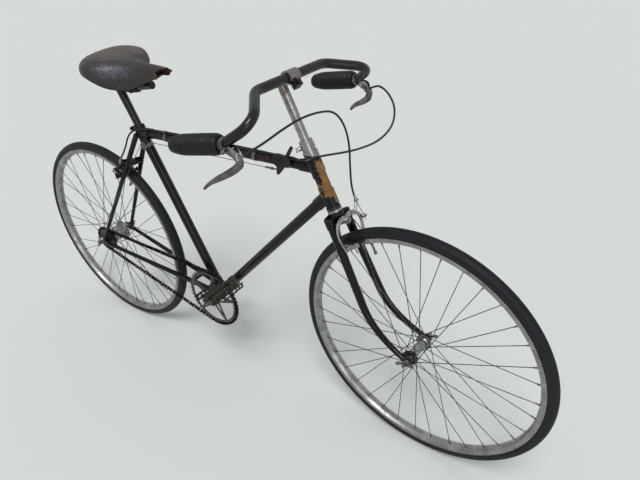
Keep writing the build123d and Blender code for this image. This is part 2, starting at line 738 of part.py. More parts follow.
def chainring():
    """Pressed ring whose five struts spread from the rim as pairs to the boss."""
    window = pitch_radius(RING_TEETH) - RING_RIM
    disc = toothed_disc(RING_TEETH) - Circle(window)
    boss = Circle(RING_HUB_RADIUS)
    half_turn = 180 / RING_ARMS
    for arm in range(RING_ARMS):
        outer = CRANK_ANGLE + half_turn + arm * 2 * half_turn
        rim_end = Vector((window + 2) * cos(radians(outer)), (window + 2) * sin(radians(outer)))
        for lead in (-1, 1):
            inner = radians(outer + lead * half_turn * 0.8)
            hub_end = Vector(RING_HUB_RADIUS * 0.9 * cos(inner), RING_HUB_RADIUS * 0.9 * sin(inner))
            strut = [Pos(*end) * Circle(RING_STRUT_WIDTH / 2) for end in (rim_end, hub_end)]
            boss += make_hull([*strut[0].edges(), *strut[1].edges()])
    disc += boss - Circle(CRANK_BOSS_RADIUS + BRAZE_GAP)
    return Pos(*BRACKET) * side_plate(disc, -CHAINLINE, TOOTH_THICKNESS)


def chain_plates():
    """Outline of the chain's plates in X and Z: full at each pin, waisted between pins."""
    ring = Pos(BRACKET.X, BRACKET.Z) * Circle(pitch_radius(RING_TEETH))
    cog = Pos(REAR_AXLE.X, REAR_AXLE.Z) * Circle(pitch_radius(SPROCKET_TEETH))
    line = make_hull([*ring.edges(), *cog.edges()]).wire()
    centre = Vector(BRACKET.X / 2, BRACKET.Z)
    clockwise = (line @ 0 - centre).cross(line % 0).Z < 0
    links = round(line.length / CHAIN_PITCH)
    print("chain links:", links)
    outer = []
    inner = []
    for half_link in range(2 * links):
        share = half_link / (2 * links)
        at = line @ share
        out = (line % share).cross(Vector(0, 0, -1 if clockwise else 1))
        if half_link % 2:
            outer.append(at + out * CHAIN_WAIST_HALF)
        else:
            outer.append(at + out * CHAIN_PLATE_HALF)
            inner.append(at - out * CHAIN_PLATE_HALF)
    return make_face(Polyline(*outer, close=True)) - make_face(Polyline(*inner, close=True))


def chain():
    plates = chain_plates()
    thickness = CHAIN_OUTER_HALF - CHAIN_INNER_HALF
    middle = (CHAIN_INNER_HALF + CHAIN_OUTER_HALF) / 2
    return Compound(children=[side_plate(plates, side * middle - CHAINLINE, thickness) for side in (-1, 1)])


def sprocket():
    """Sprocket on the driver that the axle carries."""
    disc = toothed_disc(SPROCKET_TEETH) - Circle(DRIVER_RADIUS - 2)
    cog = Pos(*REAR_AXLE) * side_plate(disc, -CHAINLINE, TOOTH_THICKNESS)
    inner = REAR_AXLE - Vector(0, CHAINLINE - TOOTH_THICKNESS / 2, 0)
    driver = rod(inner, inner - Vector(0, DRIVER_REACH, 0), DRIVER_RADIUS)
    return cog + driver - across(REAR_AXLE, REAR_AXLE_RADIUS + BRAZE_GAP, CHAINLINE * 2)


def crank_end(side):
    angle = radians(CRANK_ANGLE if side < 0 else CRANK_ANGLE + 180)
    return BRACKET + Vector(cos(angle), 0, sin(angle)) * CRANK_LENGTH


def cranks():
    """Bracket axle with both cranks, each held by a cotter."""
    body = across(BRACKET, BB_AXLE_RADIUS, CRANK_FACE + CRANK_THICKNESS)
    for side in (-1, 1):
        out = Vector(0, side, 0)
        near = out * CRANK_FACE
        middle = out * (CRANK_FACE + CRANK_THICKNESS / 2)
        end = crank_end(side)
        along = (end - BRACKET).normalized()
        body += rod(BRACKET + near, BRACKET + near + out * CRANK_THICKNESS, CRANK_BOSS_RADIUS)
        body += rod(BRACKET + middle, end + middle, 8.5, 6.5)
        body += rod(end + near, end + near + out * CRANK_THICKNESS, CRANK_EYE_RADIUS)
        cotter = BRACKET + middle + along * COTTER_OFFSET
        pin = along.cross(Vector(0, 1, 0)) * COTTER_HALF
        body += rod(cotter - pin, cotter + pin, COTTER_RADIUS)
        body += rod(cotter + pin * 0.75, cotter + pin, COTTER_RADIUS + 2)
    ring_face = BRACKET - Vector(0, CHAINLINE - TOOTH_THICKNESS / 2, 0)
    return body + rod(ring_face, BRACKET - Vector(0, CRANK_FACE, 0), CRANK_BOSS_RADIUS)


def pedal_spindles():
    bars = []
    for side in (-1, 1):
        out = Vector(0, side, 0)
        face = crank_end(side) + out * (CRANK_FACE + CRANK_THICKNESS + SEAT_GAP)
        bars.append(rod(face, face + out * PEDAL_LENGTH, PEDAL_SPINDLE_RADIUS))
    return Compound(children=bars)


def cage_outline():
    """Side plate of a rat-trap pedal: saw-toothed edges and three windows."""
    pitch = PEDAL_LENGTH / CAGE_TEETH
    top = []
    for half_tooth in range(2 * CAGE_TEETH + 1):
        depth = 0 if half_tooth % 2 else CAGE_TOOTH
        top.append((half_tooth * pitch / 2, CAGE_HEIGHT / 2 - depth))
    plate = make_face(Polyline(*top, *[(x, -y) for x, y in reversed(top)], close=True))
    window = RectangleRounded(PEDAL_LENGTH / 4, CAGE_HEIGHT / 3, 3)
    for share in (0.2, 0.5, 0.8):
        plate -= Pos(PEDAL_LENGTH * share, 0) * window
    return plate


def pedal(side):
    """Rat-trap pedal: barrel, two toothed side plates and the ties between them."""
    out = Vector(0, side, 0)
    centre = crank_end(side)
    face = centre + out * (CRANK_FACE + CRANK_THICKNESS + PEDAL_CLEARANCE)
    body = rod(face, face + out * (PEDAL_LENGTH - 8), PEDAL_BARREL_RADIUS)
    body += rod(face + out * (PEDAL_LENGTH - 8), face + out * PEDAL_LENGTH, PEDAL_BARREL_RADIUS, 6)
    outline = cage_outline()
    for lead in (-1, 1):
        plane = Plane(origin=face + Vector(lead * CAGE_HALF, 0, 0), x_dir=out, z_dir=(1, 0, 0))
        body += extrude(plane * outline, amount=CAGE_THICKNESS / 2, both=True)
    for along in CAGE_TIES:
        body += Pos(*(face + out * along)) * Box(2 * CAGE_HALF, CAGE_THICKNESS, CAGE_HEIGHT / 2)
    body -= rod(face - out, face + out * (PEDAL_LENGTH - 4), PEDAL_SPINDLE_RADIUS + PIVOT_GAP)
    return body.rotate(Axis(centre, (0, 1, 0)), PEDAL_TILT)


# Fork and steering
def blade_point(along, forward, spread):
    return on_head(-along, forward, spread)


def fork_blade():
    """Blade that tapers down a straight run and then bends toward the fork end."""
    top = blade_point(*BLADE_LINE["crown"])
    bend = blade_point(*BLADE_LINE["bend"])
    corner = bend + (bend - top).normalized() * BLADE_BEND_LEAD
    tip = blade_point(FORK_SPAN, FORK_RAKE, BLADE_TIP_SPREAD)
    curve = Bezier(bend, corner, tip)
    sections = []
    for index in range(BLADE_SECTIONS):
        share = index / (BLADE_SECTIONS - 1)
        radius = BLADE_BEND_RADIUS + (BLADE_TIP_RADIUS - BLADE_BEND_RADIUS) * share
        sections.append(Plane(origin=curve @ share, x_dir=(0, 1, 0), z_dir=curve % share) * Circle(radius))
    return rod(top, bend, BLADE_TOP_RADIUS, BLADE_BEND_RADIUS) + loft(sections, ruled=True)


def fork_end():
    end = side_plate(Circle(FORK_END_RADIUS), 0, FORK_END_THICKNESS)
    end -= side_plate(Circle(FRONT_AXLE_RADIUS + BRAZE_GAP), 0, FORK_END_THICKNESS * 2)
    return Pos(FRONT_AXLE.X, BLADE_TIP_SPREAD, FRONT_AXLE.Z) * end


def fork_blades():
    blade = fork_blade() - across(FRONT_AXLE, FORK_END_RADIUS, 2 * BLADE_TIP_SPREAD)
    side = blade + fork_end()
    return Compound(children=[side, mirrored(side)])


def fork_crown():
    """Steerer with the crown that carries both blades, its shoulders rounded off."""
    low = Plane(origin=on_head(-CROWN_BOTTOM), x_dir=HEAD_FORWARD, z_dir=HEAD_UP)
    outline = Circle(CROWN_RADIUS) + Rectangle(2 * (SOCKET_RADIUS - 2), 2 * BLADE_TOP_SPREAD)
    for side in (-1, 1):
        outline += Pos(0, side * BLADE_TOP_SPREAD) * Circle(SOCKET_RADIUS)
    crown = extrude(low * outline, amount=CROWN_BOTTOM - CROWN_TOP)
    dome_centre = on_head(-CROWN_TOP - CROWN_DOME)
    reach = HEAD_FORWARD * 2 * CROWN_RADIUS
    crown = crown & rod(dome_centre - reach, dome_centre + reach, CROWN_DOME)
    crown += rod(on_head(-CROWN_TOP - 1), on_head(STEERER_TOP), STEERER_RADIUS)
    crown -= rod(on_head(-CROWN_BOTTOM - 1), on_head(STEERER_TOP + 1), STEM_RADIUS + BRAZE_GAP)
    blade = fork_blade()
    for seat in (blade, mirrored(blade)):
        crown -= seat
    pivot = on_head(-CALIPER_DROP)
    return crown - rod(pivot, pivot + HEAD_FORWARD * 2 * CROWN_RADIUS, CALIPER_BOLT_RADIUS + BRAZE_GAP)


def head_races():
    """Cups pressed on the two ends of the head tube."""
    low = rod(on_head(-RACE_HEIGHT), on_head(0), RACE_RADIUS)
    high = rod(on_head(HEAD_LENGTH), on_head(HEAD_LENGTH + RACE_HEIGHT), RACE_RADIUS)
    bore = rod(on_head(-20), on_head(HEAD_LENGTH + 20), STEERER_RADIUS + PIVOT_GAP)
    return Compound(children=[low - bore, high - bore])


def head_nuts():
    """Crown race below, and the adjusting race, head clip and lock nut above."""
    low = rod(on_head(-CROWN_TOP + BRAZE_GAP), on_head(-RACE_HEIGHT - PIVOT_GAP), RACE_RADIUS)
    low -= rod(on_head(-30), on_head(30), STEERER_RADIUS + BRAZE_GAP)
    foot = HEAD_LENGTH + RACE_HEIGHT + PIVOT_GAP
    high = None
    clip = None
    for height, step in HEAD_RINGS:
        ring = rod(on_head(foot), on_head(foot + height), RACE_RADIUS - step)
        high = ring if high is None else high + ring
        if (height, step) == HEAD_RINGS[2]:
            clip = foot + height / 2
        foot += height
    lead = Vector(cos(radians(CLIP_TURN)), sin(radians(CLIP_TURN)), 0)
    high += rod(on_head(clip), on_head(clip, lead.X * CLIP_REACH, lead.Y * CLIP_REACH), 5.0)
    bolt = on_head(clip, lead.X * (CLIP_REACH - 5), lead.Y * (CLIP_REACH - 5))
    side = (HEAD_FORWARD * -lead.Y + Vector(0, lead.X, 0)) * 9
    high += rod(bolt - side, bolt + side, 3.5)
    high -= rod(on_head(HEAD_LENGTH), on_head(STEERER_TOP + BRAZE_GAP), STEERER_RADIUS + BRAZE_GAP)
    high -= rod(on_head(HEAD_LENGTH), on_head(foot + 20), STEM_RADIUS + BRAZE_GAP)
    return Compound(children=[low, high])


def bar_centre():
    return on_head(STEM_HEIGHT, STEM_REACH)


def stem():
    """Post with a short forward neck and a split clamp, closed by a binder bolt."""
    centre = bar_centre()
    neck = on_head(STEM_HEIGHT, 0)
    body = rod(on_head(STEM_FOOT), on_head(STEM_HEIGHT + 9), STEM_RADIUS)
    body += rod(neck, centre, STEM_RADIUS - 0.6)
    body += across(centre, BAR_RADIUS + STEM_CLAMP_WALL, STEM_CLAMP_WIDTH / 2)
    angle = radians(STEM_LIP_ANGLE)
    lead = Vector(cos(angle), 0, sin(angle))
    rise = Vector(-sin(angle), 0, cos(angle))
    lip = centre + lead * (BAR_RADIUS + 9)
    lip_plane = Plane(origin=lip, x_dir=lead, z_dir=rise)
    body += lip_plane * Box(*STEM_LIP)
    body -= lip_plane * Box(2 * STEM_LIP[0], 2 * STEM_LIP[1], STEM_SLOT)
    body += rod(lip - rise * 12, lip + rise * 13, 3.5)
    body += rod(lip + rise * 8, lip + rise * 13, 6)
    return body - across(centre, BAR_RADIUS + BRAZE_GAP, STEM_CLAMP_WIDTH)


def bar_point(forward, left, up):
    """Point measured from the middle of the handlebar clamp, in X, Y and Z."""
    return bar_centre() + Vector(forward, left, up)


def bar_tube(radius):
    """Round bar that follows the handlebar from end to end."""
    half = [bar_point(*BAR_BENDS[name]) for name in ("shoulder", "front", "turn", "end")]
    points = [Vector(p.X, -p.Y, p.Z) for p in reversed(half)] + half
    radii = [*reversed(BAR_BEND_RADII), *BAR_BEND_RADII]
    return bent_tube(points, radii, radius)


def handlebar():
    return bar_tube(BAR_RADIUS)


def grip_ends():
    """Front and rear of a grip, on the straight run between the bar's turn and its end."""
    turn = bar_point(*BAR_BENDS["turn"])
    end = bar_point(*BAR_BENDS["end"])
    along = (end - turn).normalized()
    return end - along * GRIP_LENGTH, end + along * GRIP_OVERHANG


def grips():
    """Fat round-ended rubber grips, closed at the rear."""
    front, rear = grip_ends()
    length = (rear - front).length
    outline = [(radius, inset) for inset, radius in GRIP_PROFILE]
    outline += [(radius, length - inset) for inset, radius in reversed(GRIP_PROFILE)]
    profile = make_face(Polyline((0, 0), *outline, (0, length), close=True))
    body = Plane(origin=front, z_dir=rear - front) * revolve(Plane.XZ * profile, axis=Axis.Z)
    body -= bar_tube(BAR_RADIUS + BRAZE_GAP)
    return Compound(children=[body, mirrored(body)])


def cable_starts():
    """Where the right and the left lever's cables start, and the way they leave."""
    starts = []
    for route in (FRONT_CABLE_ROUTE, LOOP_ROUTE):
        first, second = [on_head(up, forward, left) for forward, left, up in route[:2]]
        starts.append((first, (second - first).normalized()))
    return starts


def brake_levers():
    """Clamp round the bar ahead of each grip, with its bracket, blade and cable stop."""
    front, rear = grip_ends()
    along = (rear - front).normalized()
    seat = front - along * (LEVER_CLAMP_WIDTH / 2 + SEAT_GAP)
    pivot, elbow, tip = [seat + Vector(*LEVER_POINTS[name]) for name in ("pivot", "elbow", "tip")]
    reach = along * LEVER_CLAMP_WIDTH / 2
    lever = rod(seat - reach, seat + reach, BAR_RADIUS + 3)
    lever += rod(seat, pivot, 6)
    lever += Pos(*pivot) * Sphere(7)
    lever += bent_tube([pivot, elbow, tip], [LEVER_BEND], LEVER_RADIUS)
    lever -= bar_tube(BAR_RADIUS + BRAZE_GAP)
    pair = []
    for shape, (start, way) in zip((mirrored(lever), lever), cable_starts()):
        pair.append(shape + rod(start - way * FERRULE_LENGTH, start - way * SEAT_GAP, FERRULE_RADIUS))
    return Compound(children=pair)


# Saddle
def seat_post():
    """Post bent like a figure seven, with a level arm for the saddle's clip."""
    radius = SEAT_RADIUS - SEAT_WALL - BRAZE_GAP
    post = rod(on_seat_tube(SEAT_TUBE_LENGTH - POST_INSERT), POST_TOP, radius)
    post += Pos(*POST_TOP) * Sphere(radius)
    return post + rod(POST_TOP, POST_FRONT, PIN_RADIUS)


def saddle_frame():
    """Wire rails from nose to cantle, the nose plate and the clip on the pin."""
    body = None
    for side in (-1, 1):
        rail = [SADDLE + Vector(x, side * y, z) for x, y, z in RAIL_ROUTE]
        wire = bent_tube(rail, RAIL_BENDS, RAIL_RADIUS)
        body = wire if body is None else body + wire
    for x, y, z in (RAIL_ROUTE[0], RAIL_ROUTE[-1]):
        body += across(SADDLE + Vector(x, 0, z), RAIL_RADIUS + 0.5, y + RAIL_RADIUS)
    outline = [*NOSE_PLATE, *[(x, -y) for x, y in reversed(NOSE_PLATE)]]
    level = SADDLE + Vector(0, 0, NOSE_PLATE_LEVEL)
    plate = Plane(origin=level) * make_face(Polyline(*outline, close=True))
    body += extrude(plate, amount=NOSE_PLATE_THICKNESS)
    nose = SADDLE + Vector(*RAIL_ROUTE[0]) - Vector(0, RAIL_ROUTE[0][1], 0)
    body += rod(nose, Vector(nose.X, 0, level.Z + 1), RAIL_RADIUS + 1)
    clip = POST_TOP + (POST_FRONT - POST_TOP) * CLIP_SHARE
    clip_reach = RAIL_ROUTE[1][1] + 6
    body += across(clip, PIN_RADIUS + 6, clip_reach)
    body += across(clip, 9, clip_reach + 7)
    return body - rod(POST_TOP, POST_FRONT + (POST_FRONT - POST_TOP) * 0.2, PIN_RADIUS + BRAZE_GAP)


def saddle_leather():
    """Top, lofted through arched sections from cantle to nose, its nose torn off ragged."""
    sections = []
    tilt = (0, cos(radians(SADDLE_ROLL)), sin(radians(SADDLE_ROLL)))
    for forward, half, top, drop in SADDLE_SECTIONS:
        plane = Plane(origin=SADDLE + Vector(forward, 0, 0), x_dir=tilt, z_dir=(1, 0, 0))
        low = top - drop
        inner = half - SADDLE_THICKNESS
        arch = make_face(
            [
                ThreePointArc((-half, low), (0, top), (half, low)),
                Line((half, low), (inner, low)),
                ThreePointArc((inner, low), (0, top - SADDLE_THICKNESS), (-inner, low)),
                Line((-inner, low), (-half, low)),
            ]
        )
        sections.append(plane * arch)
    tear = Plane(origin=SADDLE - Vector(0, 0, 100)) * make_face(Polyline(*NOSE_TEAR, close=True))
    return loft(sections, ruled=True) - extrude(tear, amount=200)


# Brakes
def rim_seat(axle_centre, along, up, forward):
    """Point, tangent and outward direction on a rim's wall, a distance forward of the axle."""
    rise = sqrt(RIM_SEAT_RADIUS**2 - forward**2)
    point = axle_centre + along * forward + up * rise
    radial = (point - axle_centre).normalized()
    return point, Vector(0, 1, 0).cross(radial), radial


def brake_shoes(seat, lead):
    """Two rubber blocks beside the rim, and the holders with their studs behind them."""
    middle, tangent, radial = seat
    face = RIM_WIDTH / 2 + BLOCK_GAP
    blocks = []
    holders = []
    for side in (-1, 1):
        out = Vector(0, side, 0)
        place = middle + tangent * lead
        at = Plane(origin=place + out * (face + BLOCK_DEPTH / 2), x_dir=tangent, z_dir=radial)
        blocks.append(at * Box(BLOCK_LENGTH, BLOCK_DEPTH, BLOCK_HEIGHT))
        at = Plane(origin=place + out * (face + BLOCK_DEPTH + HOLDER_WALL / 2), x_dir=tangent, z_dir=radial)
        holder = at * Box(BLOCK_LENGTH + 3, HOLDER_WALL, BLOCK_HEIGHT + 3)
        stud = middle + out * (face + BLOCK_DEPTH + HOLDER_WALL / 2)
        holders.append(holder + rod(stud, stud + out * STUD_LENGTH, STUD_RADIUS))
    return blocks, holders


def caliper(pivot, outward, up, arms, base, root):
    """Flat arms in two layers on one bolt, drawn to the left and up from the bolt."""
    depth = base + 2 * ARM_THICKNESS
    body = rod(pivot + outward * root, pivot + outward * depth, CALIPER_BOLT_RADIUS)
    body += rod(pivot + outward * depth, pivot + outward * (depth + CALIPER_NUT_HEIGHT), CALIPER_NUT_RADIUS)
    for layer, line in arms:
        origin = pivot + outward * (base + layer * ARM_THICKNESS)
        plane = Plane(origin=origin, x_dir=up.cross(outward), z_dir=outward)
        flip = -1 if plane.x_dir.Y < 0 else 1
        body += strap([(x * flip, y, r) for x, y, r in line], plane, ARM_THICKNESS)
    return body


def front_seat():
    return rim_seat(FRONT_AXLE, HEAD_FORWARD, HEAD_UP, FRONT_SHOE_FORWARD - FORK_RAKE)


def cable_end(ferrule, clamp, place):
    """Stop for the casing, clamp bolt and the bare wire between them."""
    stop = rod(place(*ferrule["foot"]), place(*ferrule["top"]), CABLE_STOP_RADIUS)
    bolt_ends = [place(*clamp[end]) for end in ("rear", "front") if end in clamp]
    bolt = rod(*bolt_ends, CABLE_BOLT_RADIUS)
    return stop + bolt + rod(place(*ferrule["foot"]), place(*clamp["middle"]), WIRE_RADIUS)


def front_brake():
    """Caliper on the front of the crown, with the cable's clamp and stop."""
    pivot = on_head(-CALIPER_DROP)
    body = caliper(pivot, HEAD_FORWARD, HEAD_UP, FRONT_ARMS, CROWN_RADIUS + SEAT_GAP, STEM_RADIUS + 2)
    for holder in brake_shoes(front_seat(), FRONT_SHOE_LEAD)[1]:
        body += holder
    return body + cable_end(FRONT_FERRULE, FRONT_CLAMP, on_head)


def front_blocks():
    return Compound(children=brake_shoes(front_seat(), FRONT_SHOE_LEAD)[0])


def bridge_centre():
    point = SEAT_STAY_ROOT + (SEAT_STAY_TIP - SEAT_STAY_ROOT) * BRIDGE_SHARE
    return Vector(point.X, 0, point.Z)


def stay_directions():
    """Up the seat stays, and square to them toward the rear."""
    up = SEAT_STAY_ROOT - SEAT_STAY_TIP
    up = Vector(up.X, 0, up.Z).normalized()
    return up, Vector(-up.Z, 0, up.X)


def rear_seat():
    up, rear = stay_directions()
    return rim_seat(REAR_AXLE, rear, up, REAR_SHOE_REAR)


def rear_point(down, rear, left):
    """Point measured from the middle of the stay bridge."""
    up, back = stay_directions()
    return bridge_centre() - up * down + back * rear + Vector(0, left, 0)


def rear_brake():
    """Caliper behind the stay bridge, with the cable's clamp and stop."""
    up, rear = stay_directions()
    body = caliper(bridge_centre(), rear, up, REAR_ARMS, SEAT_STAY_TOP_RADIUS + SEAT_GAP, BRIDGE_RADIUS - 3)
    for holder in brake_shoes(rear_seat(), REAR_SHOE_LEAD)[1]:
        body += holder
    body += cable_end(REAR_FERRULE, REAR_CLAMP, rear_point)
    return body - across(bridge_centre(), BRIDGE_RADIUS + BRAZE_GAP, 40)


def rear_blocks():
    return Compound(children=brake_shoes(rear_seat(), REAR_SHOE_LEAD)[0])


# Cables and gear control
def top_frame():
    """Directions back along the top tube, to its right and out of its top."""
    back = (SEAT_JOINT - TOP_JOINT).normalized()
    right = Vector(0, -1, 0)
    return back, right, back.cross(right)


def on_top_tube(distance, turn, reach):
    """Point beside the top tube: back from the head, turned from its top to the right."""
    back, right, up = top_frame()
    angle = radians(turn)
    return TOP_JOINT + back * distance + right * (reach * sin(angle)) + up * (reach * cos(angle))


def unsteered(point):
    """Place of a frame point in the steering as it is drawn, before it is turned to rest."""
    return (point - HEAD_FOOT).rotate(STEERING_AXIS, -STEERING_REST) + HEAD_FOOT


def front_brake_cable():
    route = [on_head(up, forward, left) for forward, left, up in FRONT_CABLE_ROUTE]
    return cable(route, CABLE_RADIUS)


def rear_cable_loop():
    """The part of the rear brake's cable that bends as the steering turns."""
    route = [on_head(up, forward, left) for forward, left, up in LOOP_ROUTE]
    end = unsteered(TOP_JOINT + Vector(*CABLE_FROM_HEAD[0]))
    end += (route[-1] - end).normalized() * 3 * SEAT_GAP
    return cable([*route, end], CABLE_RADIUS)


def tube_cable_points():
    reach = TOP_RADIUS + LUG_WALL + CABLE_RADIUS + SEAT_GAP
    return [on_top_tube(back, turn, reach) for back, turn in CABLE_ON_TUBE]


def rear_brake_cable():
    route = [TOP_JOINT + Vector(*offset) for offset in CABLE_FROM_HEAD]
    route += tube_cable_points()
    route += [SEAT_JOINT + Vector(*offset) for offset in CABLE_PAST_LUG]
    route += [rear_point(down, rear, left) for down, rear, left in CABLE_TO_CALIPER]
    return cable(route, CABLE_RADIUS)


def cable_clips():
    """Bands round the top tube that hold the rear brake's cable."""
    back = top_frame()[0]
    points = tube_cable_points()
    bands = []
    for index in CABLE_CLIPS:
        hold = (points[index] + points[index + 1]) / 2
        along = (points[index + 1] - points[index]).normalized()
        middle = TOP_JOINT + back * (hold - TOP_JOINT).dot(back)
        half = back * CLIP_HALF
        band = rod(middle - half, middle + half, TOP_RADIUS + CLIP_WALL)
        band += rod(hold - along * CLIP_HALF, hold + along * CLIP_HALF, CABLE_RADIUS + CLIP_WALL)
        band -= rod(middle - half * 2, middle + half * 2, TOP_RADIUS + BRAZE_GAP)
        band -= rod(hold - along * 2 * CLIP_HALF, hold + along * 2 * CLIP_HALF, CABLE_RADIUS + SEAT_GAP)
        bands.append(band)
    return Compound(children=bands)


def trigger_centre():
    """Middle of the quadrant's inner face."""
    back, right, up = top_frame()
    return on_top_tube(TRIGGER_BACK, 0, 0) + right * (TOP_RADIUS + 1) + up * TRIGGER_RISE


def gear_trigger():
    """Quadrant plate clamped to the top tube's right side, with its lever and wire stop."""
    back, right, up = top_frame()
    middle = on_top_tube(TRIGGER_BACK, 0, 0)
    half = back * TRIGGER_CLAMP_HALF
    body = rod(middle - half, middle + half, TOP_RADIUS + TRIGGER_CLAMP_WALL)
    plane = Plane(origin=trigger_centre(), x_dir=back * -1, z_dir=right)
    body += strap(TRIGGER_PLATE, plane, TRIGGER_DEPTH)
    body += strap(TRIGGER_TAIL, plane, TRIGGER_DEPTH)
    lever_seat = plane.origin + right * (TRIGGER_DEPTH - LEVER_THICKNESS) / 2
    lever_plane = Plane(origin=lever_seat, x_dir=back * -1, z_dir=right)
    body += strap(TRIGGER_LEVER, lever_plane, LEVER_THICKNESS)
    return body - rod(middle - half * 3, middle + half * 3, TOP_RADIUS + BRAZE_GAP)


def gear_pulley():
    """Small wheel on a band round the seat tube that turns the gear wire down the stay."""
    centre = on_seat_tube(SEAT_TUBE_LENGTH - PULLEY_BAND_DROP)
    wheel = SEAT_JOINT + Vector(*PULLEY_OFFSET)
    side = centre.Y - SEAT_RADIUS
    band = rod(centre - SEAT_UP * 5, centre + SEAT_UP * 5, SEAT_RADIUS + 1.5)
    band += rod(centre + Vector(0, -SEAT_RADIUS, 0), Vector(wheel.X, side, wheel.Z), PULLEY_ARM_RADIUS)
    band += rod(Vector(wheel.X, side + 3, wheel.Z), wheel - Vector(0, 4, 0), PULLEY_ARM_RADIUS)
    half = Vector(0, PULLEY_HALF, 0)
    return band + rod(wheel + half, wheel - half, PULLEY_RADIUS) - seat_clear()


def gear_wire():
    """Bare wire from the quadrant, over the pulley and down the stay to the hub."""
    start = trigger_centre() + Vector(*WIRE_START) + Vector(0, TOP_RADIUS + 1, 0)
    wheel = SEAT_JOINT + Vector(*PULLEY_OFFSET)
    reach = PULLEY_RADIUS + 2 * WIRE_RADIUS
    over = [wheel + Vector(cos(radians(turn)), 0, sin(radians(turn))) * reach for turn in WIRE_OVER_PULLEY]
    route = [start, *over, *[REAR_AXLE + Vector(*offset) for offset in WIRE_END]]
    wire = None
    for near, far in zip(route, route[1:]):
        run = rod(near, far, WIRE_RADIUS)
        wire = run if wire is None else wire + run + Pos(*near) * Sphere(WIRE_RADIUS)
    return wire


# Assembly
def wheel_nodes(name, axle_centre, barrel, flange, spread, axle_radius, half_width):
    place = Pos(*axle_centre)
    return {
        name + "_tyre": place * tyre(),
        name + "_rim": place * rim(),
        name + "_spokes": place * spokes(flange, spread),
        name + "_hub": place * hub(barrel, flange, spread, axle_radius + HUB_RUNNING_GAP, half_width),
    }


FRAME = {
    "head_tube": head_tube,
    "head_lugs": head_lugs,
    "top_tube": top_tube,
    "down_tube": down_tube,
    "seat_tube": seat_tube,
    "seat_lug": seat_lug,
    "bottom_bracket": bottom_bracket,
    "bracket_cups": bracket_cups,
    "seat_stays": seat_stays,
    "chain_stays": chain_stays,
    "rear_ends": rear_ends,
    "rear_axle": rear_axle,
    "head_races": head_races,
    "seat_post": seat_post,
    "saddle_frame": saddle_frame,
    "saddle_leather": saddle_leather,
    "rear_brake": rear_brake,
    "rear_blocks": rear_blocks,
    "rear_brake_cable": rear_brake_cable,
    "cable_clips": cable_clips,
    "gear_trigger": gear_trigger,
    "gear_pulley": gear_pulley,
    "gear_wire": gear_wire,
    "chain": chain,
    "sprocket": sprocket,
    "chainring": chainring,
    "cranks": cranks,
    "pedal_spindles": pedal_spindles,
}
STEERED = {
    "fork_crown": fork_crown,
    "fork_blades": fork_blades,
    "head_nuts": head_nuts,
    "stem": stem,
    "handlebar": handlebar,
    "grips": grips,
    "brake_levers": brake_levers,
    "front_brake": front_brake,
    "front_blocks": front_blocks,
    "front_brake_cable": front_brake_cable,
    "rear_cable_loop": rear_cable_loop,
    "front_axle": front_axle,
}


def rear_wheel():
    return wheel_nodes(
        "rear",
        REAR_AXLE,
        REAR_BARREL_RADIUS,
        REAR_FLANGE_RADIUS,
        REAR_FLANGE_SPREAD,
        REAR_AXLE_RADIUS,
        REAR_HUB_HALF,
    )


def front_wheel():
    return wheel_nodes(
        "front",
        FRONT_AXLE,
        FRONT_BARREL_RADIUS,
        FRONT_FLANGE_RADIUS,
        FRONT_FLANGE_SPREAD,
        FRONT_AXLE_RADIUS,
        FRONT_HUB_HALF,
    )


def main():
    os.makedirs("parts", exist_ok=True)
    nodes = {name: build() for name, build in FRAME.items()}
    nodes["pedal_right"] = pedal(-1)
    nodes["pedal_left"] = pedal(1)
    nodes.update(rear_wheel())
    steered = {name: build() for name, build in STEERED.items()}
    steered.update(front_wheel())
    for name, shape in steered.items():
        nodes[name] = shape.rotate(STEERING_AXIS, STEERING_REST)
    for name, shape in nodes.items():
        export_step(shape.moved(Location(-RIDER)), f"parts/{name}.step")
    print("origin, mm:", RIDER)


if __name__ == "__main__":
    main()
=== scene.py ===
"""Path racer bicycle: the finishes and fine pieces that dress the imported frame."""

from __future__ import annotations

import logging
import math
from dataclasses import dataclass, field, replace
from enum import Enum

import bpy
from mathutils import Matrix, Vector


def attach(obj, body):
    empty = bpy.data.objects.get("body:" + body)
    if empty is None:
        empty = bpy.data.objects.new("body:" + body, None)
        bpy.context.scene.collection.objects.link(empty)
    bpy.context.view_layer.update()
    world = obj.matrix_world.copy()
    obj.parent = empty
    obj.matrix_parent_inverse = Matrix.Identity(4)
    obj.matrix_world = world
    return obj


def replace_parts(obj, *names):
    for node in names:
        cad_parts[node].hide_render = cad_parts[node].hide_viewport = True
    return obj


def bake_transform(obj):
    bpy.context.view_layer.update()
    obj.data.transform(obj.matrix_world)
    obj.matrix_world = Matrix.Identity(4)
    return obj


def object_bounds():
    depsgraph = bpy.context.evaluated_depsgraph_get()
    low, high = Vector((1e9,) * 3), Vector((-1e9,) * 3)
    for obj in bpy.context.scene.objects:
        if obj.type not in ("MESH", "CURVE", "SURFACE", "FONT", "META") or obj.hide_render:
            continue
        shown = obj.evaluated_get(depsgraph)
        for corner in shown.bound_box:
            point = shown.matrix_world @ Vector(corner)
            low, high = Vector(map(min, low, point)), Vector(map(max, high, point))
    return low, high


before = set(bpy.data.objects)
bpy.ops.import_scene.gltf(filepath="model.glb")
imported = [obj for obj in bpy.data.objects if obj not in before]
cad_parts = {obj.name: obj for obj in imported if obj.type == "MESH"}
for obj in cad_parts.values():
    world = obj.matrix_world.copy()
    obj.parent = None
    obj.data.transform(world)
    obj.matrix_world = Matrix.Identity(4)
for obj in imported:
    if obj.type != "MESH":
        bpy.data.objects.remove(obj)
CAD_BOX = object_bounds()
LOG = logging.getLogger("bicycle")
MM = 0.001
Tree = bpy.types.NodeTree
Socket = bpy.types.NodeSocket
Section = list[tuple[float, float]]
Spot = tuple[float, float, float]

